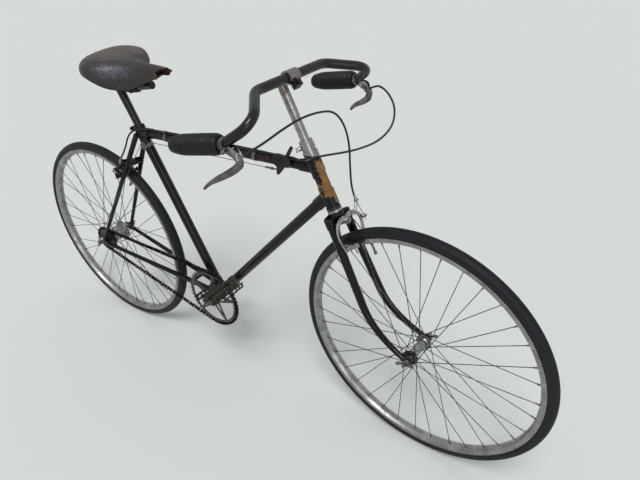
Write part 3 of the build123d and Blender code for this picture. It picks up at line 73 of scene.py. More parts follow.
# Noise keeps mostly this far from end to end about its middle of 0.5
NOISE_SPREAD = 0.34
# A patch fades out at this share of its half size
PATCH_END = 1.02
STAIN_ROUGHER = 0.22
ROUGHEST = 0.9
SPECK_ROUGHNESS = 0.7
COAT_ROUGHNESS = 0.08

# The bicycle's own points in millimetres: X forward, Y left, Z up from the rear tyre's foot
ORIGIN = Vector((299.984, 0.0, 964.967))
REAR_AXLE = Vector((0.0, 0.0, 340.0))
FRONT_AXLE = Vector((1175.0, 0.0, 340.0))
BRACKET = Vector((499.841, 0.0, 268.0))
SEAT_JOINT = Vector((281.523, 0.0, 762.993))
TOP_JOINT = Vector((901.064, 0.0, 772.065))
SADDLE = Vector((159.984, 0.0, 959.967))
SIDEWAYS = Vector((0.0, 1.0, 0.0))
HEAD_SLOPE = math.radians(66.1)
HEAD_UP = Vector((-math.cos(HEAD_SLOPE), 0.0, math.sin(HEAD_SLOPE)))
HEAD_FORWARD = Vector((math.sin(HEAD_SLOPE), 0.0, math.cos(HEAD_SLOPE)))
HEAD_FOOT = FRONT_AXLE - HEAD_FORWARD * 75.4 + HEAD_UP * 408.0
STEERING_REST = math.radians(-4.3)
STEERED = ("steering", "front_wheel")
RIM_SEAT = 311.0


def on_head(up: float, forward: float = 0.0, left: float = 0.0) -> Vector:
    """Give a point measured from the head tube's foot.

    Args:
        up: Distance up the steering axis.
        forward: Distance forward, square to the axis.
        left: Distance to the rider's left.

    Returns:
        The point, with the steering straight ahead.
    """
    return HEAD_FOOT + HEAD_UP * up + HEAD_FORWARD * forward + SIDEWAYS * left


# The bar's straight left end, which carries the grip and then the hand lever
BAR_CENTRE = on_head(308.0, 36.0)
BAR_TURN = BAR_CENTRE + Vector((11.5, 229.5, -69))
BAR_END = BAR_CENTRE + Vector((-132.5, 242, -94))
BAR_ALONG = (BAR_END - BAR_TURN).normalized()
GRIP_LENGTH = 141.0
LEVER_GAP = 7.3

# The seat stays' line, and the bridge on it that carries the rear brake
STAY_ROOT = SEAT_JOINT + Vector((-5.4, 0, -5.6))
STAY_TIP = REAR_AXLE + Vector((15, 0, 15))
STAY_UP = (STAY_ROOT - STAY_TIP).normalized()
STAY_BACK = Vector((-STAY_UP.z, 0, STAY_UP.x))
BRIDGE = STAY_ROOT + (STAY_TIP - STAY_ROOT) * 0.27


def on_bridge(up: float, back: float, left: float) -> Vector:
    """Give a point measured from the middle of the stay bridge.

    Args:
        up: Distance up the seat stays.
        back: Distance behind them, square to them.
        left: Distance to the rider's left.

    Returns:
        The point in the bicycle's millimetres.
    """
    return BRIDGE + STAY_UP * up + STAY_BACK * back + SIDEWAYS * left


def bell(place: float, middle: float, reach: float) -> float:
    """Give 1 at the middle and less toward both sides."""
    return math.exp(-(((place - middle) / reach) ** 2))


def mirrored(point: Vector, side: int) -> Vector:
    """Keep a point or a direction, for 1, or put it on the other side, for -1."""
    return Vector((point.x, point.y * side, point.z))


def around(centre: Vector, radius: float, turn: float) -> Vector:
    """Give a point of an upright circle by its angle, counted upward from straight ahead."""
    return centre + Vector((math.cos(turn), 0.0, math.sin(turn))) * radius


def at_rest(point: Vector, body: str) -> Vector:
    """Turn a point with the steering to its rest place and put it in the frame's metres.

    Args:
        point: Place in millimetres, steering straight ahead.
        body: Body that carries the point.

    Returns:
        The place at rest, in metres from the saddle mount.
    """
    place = Vector(point)
    if body in STEERED:
        place = Matrix.Rotation(STEERING_REST, 3, HEAD_UP) @ (place - HEAD_FOOT) + HEAD_FOOT
    return (place - ORIGIN) * MM


def linear(code: str) -> tuple[float, float, float, float]:
    """Turn an sRGB hex colour into linear red, green, blue and alpha.

    Args:
        code: Six hex digits, such as "1a1a1c".

    Returns:
        The four channels that a shader socket takes.
    """
    channels = []
    for index in range(0, 6, 2):
        value = int(code[index : index + 2], 16) / 255
        channels.append(value / 12.92 if value <= 0.04045 else ((value + 0.055) / 1.055) ** 2.4)
    return (*channels, 1.0)


def add_node(
    tree: Tree, kind: str, inputs: dict[str | int, object] | None = None, **settings: object
) -> bpy.types.Node:
    """Add a shader node with its settings and its inputs.

    Args:
        tree: Node tree that takes the node.
        kind: Blender's name for the kind of node.
        inputs: Values or linked outputs, keyed by the socket's name or number.
        settings: Properties set on the node itself.

    Returns:
        The new node.
    """
    node = tree.nodes.new(kind)
    for name, value in settings.items():
        setattr(node, name, value)
    for key, value in (inputs or {}).items():
        socket = node.inputs[key]
        if isinstance(value, Socket):
            tree.links.new(value, socket)
        else:
            socket.default_value = value
    return node


class Surface(Enum):
    """How a surface was made, which sets the strength of its fine relief."""

    ENAMEL = 0.25
    PLATE = 0.3
    BARE = 0.7
    MOULDED = 0.8
    HIDE = 0.9


@dataclass(frozen=True)
class Patch:
    """A bounded place where another colour shows, with an uneven edge."""

    centre: Vector
    half: Spot
    colour: str
    metallic: float = 0.0
    roughness: float = 0.6
    axes: tuple[Vector, Vector, Vector] = (Vector((1, 0, 0)), Vector((0, 1, 0)), Vector((0, 0, 1)))
    ragged: float = 0.35
    grain_mm: float = 5.0
    cover: float = 1.0
    edge: float = 0.12

    def mask(self, tree: Tree, place: Socket) -> Socket:
        """Give the share of the patch's colour at each point.

        Args:
            tree: Node tree of the material.
            place: Position in metres.

        Returns:
            A factor from 0 outside to the patch's cover inside.
        """
        middle = at_rest(self.centre, "frame")
        offset = add_node(
            tree, "ShaderNodeVectorMath", {0: place, 1: middle}, operation="SUBTRACT"
        ).outputs["Vector"]
        grain = {"Vector": place, "Scale": 1 / (self.grain_mm * MM), "Detail": 5.0}
        noise = add_node(tree, "ShaderNodeTexNoise", grain).outputs["Fac"]
        spread = {"From Min": 0.3, "From Max": 0.7, "To Min": -self.ragged, "To Max": self.ragged}
        wander = add_node(
            tree, "ShaderNodeMapRange", {"Value": noise, **spread}, clamp=False
        ).outputs["Result"]
        fade = {"From Min": PATCH_END - self.edge, "From Max": PATCH_END, "To Min": 1.0, "To Max": 0.0}
        mask: Socket | float = self.cover
        for axis, half in zip(self.axes, self.half):
            scaled = {0: offset, 1: axis / (half * MM)}
            along = add_node(
                tree, "ShaderNodeVectorMath", scaled, operation="DOT_PRODUCT"
            ).outputs["Value"]
            away = add_node(tree, "ShaderNodeMath", {0: along}, operation="ABSOLUTE").outputs[0]
            moved = {0: away, 1: wander}
            shifted = add_node(tree, "ShaderNodeMath", moved, operation="ADD").outputs[0]
            faded = {"Value": shifted, **fade}
            both = {0: mask, 1: add_node(tree, "ShaderNodeMapRange", faded).outputs["Result"]}
            mask = add_node(tree, "ShaderNodeMath", both, operation="MULTIPLY").outputs[0]
        return mask


@dataclass(frozen=True)
class Finish:
    """A finish with its two tones, its stain, its specks and its grain.

    The grain sizes are in millimetres on the real object.
    """

    name: str
    surface: Surface
    colour: str
    tone: str
    stain: str
    stain_share: float = 0.2
    metallic: float = 0.0
    roughness: float = 0.4
    grain_mm: float = 6.0
    stain_mm: float = 14.0
    relief_mm: float = 0.05
    coat: float = 0.0
    specular: float = 0.5
    speck: str = ""
    speck_mm: float = 2.0
    speck_share: float = 0.12
    soft: float = 0.05
    patches: tuple[Patch, ...] = ()

    def spots(self, tree: Tree, place: Socket, size_mm: float, share: float) -> Socket:
        """Cover about a share of the surface with uneven spots.

        Args:
            tree: Node tree of the material.
            place: Position in metres.
            size_mm: Size of the spots in millimetres.
            share: Share of the surface that they cover.

        Returns:
            The spots' mask, soft at its edge.
        """
        cells = {"Scale": 1 / (size_mm * MM), "Detail": 3.0, "Roughness": 0.6}
        noise = add_node(tree, "ShaderNodeTexNoise", {"Vector": place, **cells}).outputs["Fac"]
        edge = 0.5 + (0.5 - share) * NOISE_SPREAD
        limits = {"From Min": edge - self.soft, "From Max": edge + self.soft}
        return add_node(tree, "ShaderNodeMapRange", {"Value": noise, **limits}).outputs["Result"]

    def layers(self, tree: Tree, place: Socket) -> list[tuple[Socket, str, float, float | None]]:
        """Gather what lies over the two tones, from the lowest layer up.

        Args:
            tree: Node tree of the material.
            place: Position in metres.

        Returns:
            Mask, colour, roughness and metallic of each layer, None where the metallic stays.
        """
        stain = self.spots(tree, place, self.stain_mm, self.stain_share)
        layers = [(stain, self.stain, min(self.roughness + STAIN_ROUGHER, ROUGHEST), None)]
        if self.speck:
            specks = self.spots(tree, place, self.speck_mm, self.speck_share)
            layers.append((specks, self.speck, SPECK_ROUGHNESS, None))
        for patch in self.patches:
            mask = patch.mask(tree, place)
            layers.append((mask, patch.colour, patch.roughness, patch.metallic))
        return layers

    def material(self) -> bpy.types.Material:
        """Build the finish once and hand back the same material later.

        Returns:
            The finish's material.
        """
        found = bpy.data.materials.get(self.name)
        if found:
            return found
        made = bpy.data.materials.new(self.name)
        made.use_nodes = True
        tree = made.node_tree
        tree.nodes.clear()
        place = add_node(tree, "ShaderNodeTexCoord").outputs["Object"]
        cells = {"Scale": 1 / (self.grain_mm * MM), "Detail": 6.0, "Roughness": 0.6}
        grain = add_node(tree, "ShaderNodeTexNoise", {"Vector": place, **cells}).outputs["Fac"]
        limits = {"Value": grain, "From Min": 0.35, "From Max": 0.65}
        share = add_node(tree, "ShaderNodeMapRange", limits).outputs["Result"]
        tones = {0: share, 6: linear(self.colour), 7: linear(self.tone)}
        colour = add_node(tree, "ShaderNodeMix", tones, data_type="RGBA").outputs[2]
        rough: Socket | float = self.roughness
        metal: Socket | float = self.metallic
        for mask, over, roughness, metallic in self.layers(tree, place):
            tones = {0: mask, 6: colour, 7: linear(over)}
            colour = add_node(tree, "ShaderNodeMix", tones, data_type="RGBA").outputs[2]
            rough = add_node(tree, "ShaderNodeMix", {0: mask, 2: rough, 3: roughness}).outputs[0]
            if metallic is not None:
                metal = add_node(tree, "ShaderNodeMix", {0: mask, 2: metal, 3: metallic}).outputs[0]
        relief = {"Distance": self.relief_mm * MM, "Strength": self.surface.value}
        bump = add_node(tree, "ShaderNodeBump", {"Height": grain, **relief}).outputs["Normal"]
        shader = add_node(
            tree,
            "ShaderNodeBsdfPrincipled",
            {
                "Base Color": colour,
                "Metallic": metal,
                "Roughness": rough,
                "Normal": bump,
                "Coat Weight": self.coat,
                "Coat Roughness": COAT_ROUGHNESS,
                "Specular IOR Level": self.specular,
            },
        )
        add_node(tree, "ShaderNodeOutputMaterial", {"Surface": shader.outputs["BSDF"]})
        return made


# Black stove enamel, dipped and baked: a hard gloss that time has chipped and dulled
FRAME_ENAMEL = Finish(
    "frame_stove_enamel", Surface.ENAMEL, "030304", "060607", "0d0a0a",
    stain_share=0.12, roughness=0.18, grain_mm=5, stain_mm=26, relief_mm=0.02, coat=0.04,
    specular=0.24, speck="2f2823", speck_mm=5.0, speck_share=0.02,
)
# Gold panel on the head tube, lined over the black and worn through to brown and primer. In this
# order: the panel, its lower point, a darker painted shade on its low side turned from the light, a
# brown wear, a pink primer spot and black chips. Each has its middle and half size up, forward and
# left, colour, roughness, raggedness, grain and cover
HEAD_AXES = (HEAD_FORWARD, SIDEWAYS, HEAD_UP)
HEAD_PANEL = tuple(
    Patch(
        on_head(*middle), half, colour, roughness=roughness,
        axes=HEAD_AXES, ragged=ragged, grain_mm=grain, cover=cover,
    )
    for middle, half, colour, roughness, ragged, grain, cover in (
        ((71, 14, 0), (13, 12.8, 46), "855d2e", 0.45, 0.07, 7, 1.0),
        ((21, 15, 3), (12, 8, 14), "835d2f", 0.45, 0.12, 7, 1.0),
        # painted shade: darker gold on the panel's low side, turned from the light
        ((44, 7, -9), (14, 8.5, 17), "76532e", 0.5, 0.3, 7, 1.0),
        ((92, 12, -8), (10, 6.5, 17), "6f5139", 0.6, 0.55, 8, 0.75),
        ((96, 14, -3), (7, 3.5, 9), "8f6b5f", 0.6, 0.6, 6, 0.55),
        ((66, 10, 12), (12, 5, 54), "17110d", 0.6, 1.7, 5, 0.9),
    )
)
HEAD_ENAMEL = replace(FRAME_ENAMEL, name="head_stove_enamel", patches=HEAD_PANEL)
# Rust on the top tube behind the quadrant, where the enamel has gone
TUBE_RUST = Patch(
    Vector((752, -9, 765)), (11, 9, 7), "40241b",
    roughness=0.75, ragged=1.2, grain_mm=7, cover=0.9,
)
TUBE_ENAMEL = replace(FRAME_ENAMEL, name="tube_stove_enamel", patches=(TUBE_RUST,))
# Nickel plate over steel: a warm mirror, freckled where the plate has thinned
NICKEL_PLATE = Finish(
    "nickel_plate", Surface.PLATE, "a9a8a8", "9b9a9a", "7d7873",
    stain_share=0.1, metallic=1.0, roughness=0.17, grain_mm=5, stain_mm=16, relief_mm=0.01,
    soft=0.2, speck="5b4a3c", speck_mm=2.2, speck_share=0.006,
)
# The stem's clamp has lost its plate to brown, and grime sits where the stem meets it
CLAMP_WEAR = Patch(
    on_head(312, 38, 2), (30, 26, 15), "7b7270",
    metallic=0.95, roughness=0.3, axes=HEAD_AXES, ragged=0.4, grain_mm=9.0, cover=0.8,
)
CLAMP_LUG = Patch(
    on_head(286, 52, -4), (15, 24, 13), "2c2523",
    metallic=0.7, roughness=0.4, axes=HEAD_AXES, ragged=0.2, grain_mm=6.0,
)
CLAMP_GRIME = Patch(
    on_head(286, 4, 0), (22, 20, 9), "5a4a40",
    metallic=0.6, roughness=0.5, axes=HEAD_AXES, ragged=0.8, grain_mm=6.0, cover=0.6,
)
STEM_PLATE = replace(NICKEL_PLATE, name="stem_plate", patches=(CLAMP_WEAR, CLAMP_GRIME, CLAMP_LUG))
# The lower race is painted over
RACE_PAINT = Patch(
    on_head(-6), (40, 40, 22), "0b0b0c",
    roughness=0.34, axes=HEAD_AXES, ragged=0.03,
)
RACE_PLATE = replace(NICKEL_PLATE, name="race_plate", patches=(RACE_PAINT,))
# Plated steel of the axles, cups and clips: dull, with black grease in its stains
AXLE_STEEL = Finish(
    "axle_steel", Surface.BARE, "8a8783", "6b6762", "33291f",
    stain_share=0.3, metallic=1.0, roughness=0.33, grain_mm=4, stain_mm=7, relief_mm=0.03,
    soft=0.1,
)
# Chromed rolled steel, greyed by the brake blocks
RIM_CHROME = Finish(
    "rim_chrome", Surface.PLATE, "b4b6ba", "a4a6aa", "7a756e",
    stain_share=0.18, metallic=1.0, roughness=0.2, grain_mm=8, stain_mm=30, relief_mm=0.012,
    soft=0.26, speck="46382c", speck_mm=2.0, speck_share=0.03,
)
# Drawn steel wire: a thin grey line with little shine
SPOKE_WIRE = Finish(
    "spoke_wire", Surface.BARE, "6c6c70", "55555c", "362f28",
    stain_share=0.3, metallic=1.0, roughness=0.36, grain_mm=3, stain_mm=14, relief_mm=0.02,
    soft=0.1,
)
# Plated brass of the nipples and valves, dulled to a yellowish grey
NIPPLE_BRASS = Finish(
    "nipple_brass", Surface.PLATE, "8c8880", "746f65", "4a4034",
    stain_share=0.3, metallic=1.0, roughness=0.4, grain_mm=2, stain_mm=5, relief_mm=0.02,
)
# Turned steel of the rear hub, rubbed clean and softly bright
HUB_SHELL = Finish(
    "hub_shell_steel", Surface.PLATE, "a6a7a7", "8f908f", "5d574e",
    stain_share=0.2, metallic=1.0, roughness=0.28, grain_mm=4, stain_mm=12, relief_mm=0.02,
    soft=0.12,
)
# Narrow front hub: its barrel is bright, its flanges dark with old grease
FRONT_SHELL = Finish(
    "front_shell_steel", Surface.PLATE, "a6a9ac", "94979a", "6a665f",
    stain_share=0.15, metallic=1.0, roughness=0.24, grain_mm=4, stain_mm=12, relief_mm=0.015,
    soft=0.2,
    patches=tuple(
        Patch(FRONT_AXLE + SIDEWAYS * side, (60, 8, 60), "2c2826", 0.9, 0.4, ragged=0.15, edge=0.3)
        for side in (-35, 35)
    ),
)
# Blued steel handlebar under thin lacquer, browner on its left side
BAR_LACQUER = Finish(
    "bar_lacquer", Surface.ENAMEL, "05060b", "0a0c14", "100e15",
    stain_share=0.15, roughness=0.2, grain_mm=6, stain_mm=24, relief_mm=0.015, coat=0.12,
    specular=0.32, speck="2c2723", speck_mm=4.0, speck_share=0.02,
)
BAR_BROWN = Patch(
    Vector((900, 150, 985)), (110, 115, 60), "1c1312",
    roughness=0.3, ragged=0.5, grain_mm=22, cover=0.9,
)
BAR_FINISH = replace(BAR_LACQUER, name="handlebar_lacquer", patches=(BAR_BROWN,))
# Forged steel of the hand levers, brownish grey where the plate has gone
LEVER_STEEL = Finish(
    "browned_steel", Surface.BARE, "837c7e", "6a6365", "453a36",
    stain_share=0.15, metallic=0.95, roughness=0.24, grain_mm=6, stain_mm=22, relief_mm=0.012,
    soft=0.25,
)
# Folded steel of the brackets and small fittings, still bright
BRACKET_STEEL = Finish(
    "bracket_steel", Surface.PLATE, "a9a7a6", "929093", "6b6360",
    stain_share=0.2, metallic=1.0, roughness=0.22, grain_mm=4, stain_mm=12, relief_mm=0.015,
    soft=0.2,
)
# Rolled steel of the levers' clamps, its plate dulled to grey
BAND_STEEL = Finish(
    "band_steel", Surface.PLATE, "7f7b7a", "6a6566", "453c38",
    stain_share=0.25, metallic=1.0, roughness=0.27, grain_mm=4, stain_mm=12, relief_mm=0.02,
    soft=0.2,
)
# Stamped steel of the front brake: worn plate, bright with soft stains
CALIPER_STEEL = Finish(
    "stamped_caliper", Surface.PLATE, "acabaa", "9a9999", "6b645e",
    stain_share=0.15, metallic=1.0, roughness=0.22, grain_mm=3, stain_mm=12, relief_mm=0.015,
    soft=0.2,
)
# Stamped steel of the rear brake, its plate gone dark brown
DARK_CALIPER = Finish(
    "dark_caliper_steel", Surface.BARE, "343130", "24211f", "3c2a1c",
    stain_share=0.3, metallic=0.8, roughness=0.38, grain_mm=3, stain_mm=7, relief_mm=0.04,
    soft=0.1,
)
# Quadrant and its lever: black lacquer over brass, browned at the rim
QUADRANT = Finish(
    "quadrant_lacquer", Surface.BARE, "0f0c0a", "17120f", "2b1d15",
    stain_share=0.25, metallic=0.3, roughness=0.4, grain_mm=3, stain_mm=7, relief_mm=0.04,
    soft=0.1,
)
# Forged cranks and pressed ring: grey steel with oily brown stain
DRIVE_STEEL = Finish(
    "stained_forging", Surface.BARE, "6c6a69", "565353", "322c29",
    stain_share=0.25, metallic=0.95, roughness=0.28, grain_mm=6, stain_mm=22, relief_mm=0.02,
    soft=0.25, speck="432c1b", speck_mm=3.0, speck_share=0.015,
)
# Sheet steel of the pedals' plates, rusted to a dull brown
PEDAL_STEEL = Finish(
    "pedal_steel", Surface.BARE, "4f4b49", "3c3937", "35291f",
    stain_share=0.25, metallic=0.9, roughness=0.36, grain_mm=4, stain_mm=12, relief_mm=0.03,
    soft=0.25,
)
# Punched steel of the chain, nearly black with old oil
CHAIN_STEEL = Finish(
    "oiled_chain", Surface.BARE, "35312e", "25221f", "45362b",
    stain_share=0.3, metallic=0.9, roughness=0.4, grain_mm=3, stain_mm=7, relief_mm=0.04, soft=0.1,
)
# Worn places and painted sheen of the saddle leather, in this order: dust on the top, paler dust in
# its middle, a purple-grey painted sheen where the left edge turns up to the light, bare leather on
# the left edge, red leather on the right rear, a bluish painted highlight along the right skirt,
# the torn nose's red edge and its inside, and a crease. Each has its middle from the cantle, half
# size, colour, roughness, raggedness, grain, cover and soft edge
SADDLE_WEAR_AND_SHEEN = tuple(
    Patch(
        SADDLE + Vector(middle), half, colour, roughness=roughness,
        ragged=ragged, grain_mm=grain, cover=cover, edge=edge,
    )
    for middle, half, colour, roughness, ragged, grain, cover, edge in (
        ((58, 10, 26), (84, 84, 17), "453d39", 0.52, 0.35, 12, 0.95, 0.45),
        ((66, 0, 26), (60, 56, 18), "5a524d", 0.6, 0.8, 7, 0.5, 0.7),
        # painted sheen: purple-grey where the left edge turns up to the light
        ((98, 66, 20), (30, 26, 20), "4a434b", 0.4, 0.3, 14, 0.8, 0.5),
        ((100, 92, 0), (16, 14, 26), "4c302b", 0.5, 0.5, 9, 0.8, 0.5),
        ((22, -70, -8), (22, 28, 20), "6a4a43", 0.55, 0.5, 9, 0.8, 0.5),
        # painted highlight: a bluish sheen along the right skirt, where light falls on the polished
        # leather
        ((138, -54, -12), (66, 40, 20), "4b505f", 0.3, 0.4, 8, 0.75, 0.8),
        ((282, 0, 2), (10, 22, 9), "57342d", 0.6, 0.8, 6, 0.9, 0.12),
        ((256, -16, -24), (7, 14, 14), "4c3026", 0.7, 0.9, 5, 0.8, 0.12),
        ((52, 22, 30), (16, 1.6, 30), "1a1413", 0.7, 0.9, 8, 0.9, 0.12),
    )
)
# Saddle leather, blocked and polished nearly black
SADDLE_HIDE = Finish(
    "polished_hide", Surface.HIDE, "100e11", "1b171b", "2c2525",
    stain_share=0.25, roughness=0.4, grain_mm=4, stain_mm=16, relief_mm=0.12, specular=0.42,
    soft=0.2, speck="5a5049", speck_mm=2.4, speck_share=0.004, patches=SADDLE_WEAR_AND_SHEEN,
)
# Flesh side of the leather: rough and brown
HIDE_INSIDE = Finish(
    "hide_inside", Surface.HIDE, "38221c", "4a2c24", "1d120e",
    stain_share=0.3, roughness=0.85, grain_mm=3, stain_mm=12, relief_mm=0.2, specular=0.2,
)
# Plated steel rivet heads, worn to a coppery brown
RIVET = Finish(
    "saddle_rivet", Surface.PLATE, "5b4e45", "44382f", "2c231c",
    stain_share=0.3, metallic=0.9, roughness=0.4, grain_mm=2, stain_mm=5, relief_mm=0.03,
)
# Blacked steel of the saddle's wires, its clip and the brake springs: nearly no shine
SADDLE_STEEL = Finish(
    "blacked_steel", Surface.BARE, "121112", "0c0b0c", "231a14",
    stain_share=0.2, metallic=0.4, roughness=0.42, grain_mm=4, stain_mm=9, relief_mm=0.04,
    soft=0.1,
)
# Moulded grip rubber, soft black with a bluish bloom
GRIP_RUBBER = Finish(
    "moulded_grip", Surface.MOULDED, "090b0d", "0f1315", "0b0c0e",
    stain_share=0.2, roughness=0.42, grain_mm=4, stain_mm=14, relief_mm=0.04, specular=0.26,
    soft=0.2,
)
# Moulded brake block rubber, dry and matt
BLOCK_RUBBER = Finish(
    "moulded_block", Surface.MOULDED, "121110", "1b1918", "2b201a",
    stain_share=0.25, roughness=0.75, grain_mm=3, stain_mm=8, relief_mm=0.1, specular=0.2,
)
# Cable casing, black lacquered cotton woven over a wire coil: satin, not glossy
CABLE_CASING = Finish(
    "cable_casing", Surface.MOULDED, "0b0b0c", "131314", "1a1816",
    stain_share=0.2, roughness=0.36, grain_mm=2, stain_mm=8, relief_mm=0.03, specular=0.35,
)
# Moulded tyre rubber, its tread greyed by dust
TYRE_RUBBER = Finish(
    "moulded_tyre", Surface.MOULDED, "0b0d11", "12151a", "191d23",
    stain_share=0.3, roughness=0.48, grain_mm=4, stain_mm=30, relief_mm=0.04, specular=0.26,
    soft=0.2,
)

NODE_FINISHES: tuple[tuple[Finish, str], ...] = (
    (FRAME_ENAMEL, "down_tube seat_tube seat_lug bottom_bracket seat_stays chain_stays rear_ends"),
    (FRAME_ENAMEL, "fork_blades fork_crown"),
    (HEAD_ENAMEL, "head_tube head_lugs"),
    (TUBE_ENAMEL, "top_tube"),
    (NICKEL_PLATE, "head_nuts"),
    (STEM_PLATE, "stem"),
    (RACE_PLATE, "head_races"),
    (AXLE_STEEL, "front_axle rear_axle bracket_cups pedal_spindles cable_clips"),
    (RIM_CHROME, "front_rim rear_rim"),
    (SPOKE_WIRE, "front_spokes rear_spokes gear_wire"),
    (HUB_SHELL, "rear_hub"),
    (FRONT_SHELL, "front_hub"),
    (BAR_FINISH, "handlebar"),
    (BAR_LACQUER, "seat_post"),
    (LEVER_STEEL, "brake_levers gear_pulley"),
    (QUADRANT, "gear_trigger"),
    (CALIPER_STEEL, "front_brake"),
    (DARK_CALIPER, "rear_brake"),
    (DRIVE_STEEL, "chainring cranks sprocket"),
    (PEDAL_STEEL, "pedal_right pedal_left"),
    (CHAIN_STEEL, "chain"),
    (SADDLE_HIDE, "saddle_leather"),
    (SADDLE_STEEL, "saddle_frame"),
    (GRIP_RUBBER, "grips"),
    (BLOCK_RUBBER, "front_blocks rear_blocks"),
    (CABLE_CASING, "rear_brake_cable front_brake_cable rear_cable_loop"),
    (TYRE_RUBBER, "front_tyre rear_tyre"),
)


def dress_nodes() -> None:
    """Give every carried-over solid its finish."""
    for finish, names in NODE_FINISHES:
        for name in names.split():
            node = bpy.data.objects[name]
            if not node.data.materials:
                node.data.materials.append(None)
            for slot in node.material_slots:
                slot.link = "OBJECT"
                slot.material = finish.material()
            LOG.info("dressed %s in %s", name, finish.name)


@dataclass
class Shape:
    """Points and faces in the bicycle's millimetres, gathered into one mesh piece."""

    name: str
    body: str
    slot: str
    points: list[Vector] = field(default_factory=list)
    faces: list[tuple[int, ...]] = field(default_factory=list)

    def rings(
        self,
        rings: list[list[Vector]],
        loop: bool = False,
        capped: bool = True,
        closed: bool = True,
    ) -> None:
        """Skin a row of rings.

        Args:
            rings: Rings of equal length, one after another.
            loop: Whether the last ring joins the first.
            capped: Whether the end rings are filled.
            closed: Whether each ring joins its own start.
        """
        base = len(self.points)
        size = len(rings[0])
        for ring in rings:
            self.points.extend(ring)
        count = len(rings)
        for row in range(count if loop else count - 1):
            near = base + row * size
            far = base + (row + 1) % count * size
            for step in range(size if closed else size - 1):
                after = (step + 1) % size
                self.faces.append((near + step, near + after, far + after, far + step))
        if capped and not loop:
            self.faces.append(tuple(base + step for step in reversed(range(size))))
            self.faces.append(tuple(base + (count - 1) * size + step for step in range(size)))

    def sweep(self, line: list[Vector], sections: list[Section], upright: Vector) -> None:
        """Skin sections carried along a line.

        Args:
            line: Middle of each section.
            sections: Each section as offsets sideways and upright.
            upright: Direction that the sections' second offset keeps to.
        """
        rings = []
        for index, (middle, section) in enumerate(zip(line, sections)):
            ahead = (line[min(index + 1, len(line) - 1)] - line[max(index - 1, 0)]).normalized()
            rise = (upright - ahead * upright.dot(ahead)).normalized()
            side = rise.cross(ahead)
            rings.append([middle + side * across + rise * up for across, up in section])
        self.rings(rings)

    def bend(self, points: list[Vector], steps: int, section: Section, upright: Vector) -> None:
        """Sweep one section along a smooth line through points.

        Args:
            points: Points that the line passes through.
            steps: Pieces between one point and the next.
            section: Offsets sideways and upright.
            upright: Direction that the section's second offset keeps to.
        """
        line = spline_points(points, steps)
        self.sweep(line, [section] * len(line), upright)

    def rod(self, start: Vector, end: Vector, radius: float, steps: int = 12) -> None:
        """Add a round bar.

        Args:
            start: Middle of the first end.
            end: Middle of the other end.
            radius: Radius of the bar.
            steps: Sides of the bar.
        """
        reach = end - start
        self.lathe([(radius, 0.0), (radius, reach.length)], start, reach, steps)

    def lathe(
        self, profile: Section, foot: Vector, axis: Vector, steps: int = 24, loop: bool = False
    ) -> None:
        """Turn a profile about an axis.

        Args:
            profile: Radius and height of each point.
            foot: Where the height is zero.
            axis: Direction of the height.
            steps: Points round each ring.
            loop: Whether the profile closes on itself, as a tyre's does.
        """
        rise = axis.normalized()
        side = rise.orthogonal().normalized()
        third = rise.cross(side)
        turns = [2 * math.pi * step / steps for step in range(steps)]
        spokes = [side * math.cos(turn) + third * math.sin(turn) for turn in turns]
        rings = [
            [foot + rise * height + spoke * radius for spoke in spokes]
            for radius, height in profile
        ]
        self.rings(rings, loop=loop, capped=not loop)

    def plate(self, outline: list[Vector], thickness: Vector) -> None:
        """Add a flat plate.

        Args:
            outline: Corners of one face, in order.
            thickness: Offset to the other face.
        """
        self.rings([outline, [corner + thickness for corner in outline]])

    def make(self, finish: Finish, bevel: float = 0.0, smooth: float = 40.0) -> bpy.types.Object:
        """Make the mesh, ride it on its body and give it its finish.

        Args:
            finish: Finish that the piece takes.
            bevel: Width of a rounded edge, in millimetres.
            smooth: Angle under which edges look smooth, in degrees.

        Returns:
            The new piece.
        """
        mesh = bpy.data.meshes.new(self.name)
        mesh.from_pydata([at_rest(point, self.body) for point in self.points], [], self.faces)
        mesh.validate()
        piece = bpy.data.objects.new(self.name, mesh)
        bpy.context.collection.objects.link(piece)
        mesh.materials.append(finish.material())
        mesh.shade_smooth()
        if bevel:
            edge = piece.modifiers.new("rounded_edges", "BEVEL")
            edge.width = bevel * MM
            edge.segments = 2
            edge.limit_method = "ANGLE"
        mesh.set_sharp_from_angle(angle=math.radians(smooth))
        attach(piece, self.body)
        LOG.info("made %s with %d faces", self.name, len(self.faces))
        return piece


def spline_points(points: list[Vector], steps: int) -> list[Vector]:
    """Run a smooth line through points.

    Args:
        points: Points that the line passes through.
        steps: Pieces between one point and the next.

    Returns:
        Points along the line.
    """
    line = []
    for index in range(len(points) - 1):
        before = points[max(index - 1, 0)]
        near, far = points[index], points[index + 1]
        after = points[min(index + 2, len(points) - 1)]
        for step in range(steps):
            share = step / steps
            line.append(
                0.5
                * (
                    2 * near
                    + (far - before) * share
                    + (2 * before - 5 * near + 4 * far - after) * share**2
                    + (3 * near - before - 3 * far + after) * share**3
                )
            )
    line.append(points[-1])
    return line


def oval(across: float, up: float, steps: int = 12, square: float = 2.0) -> Section:
    """Give an oval section, or a rounded oblong.

    Args:
        across: Half width.
        up: Half height.
        steps: Points round it.
        square: 2 for an oval, and more for squarer corners.

    Returns:
        The section's points as offsets sideways and upright.
    """
    points = []
    for step in range(steps):
        turn = 2 * math.pi * (step + 0.5) / steps
        side, rise = (
            math.copysign(abs(value) ** (2 / square), value)
            for value in (math.cos(turn), math.sin(turn))
        )
        points.append((across * side, up * rise))
    return points


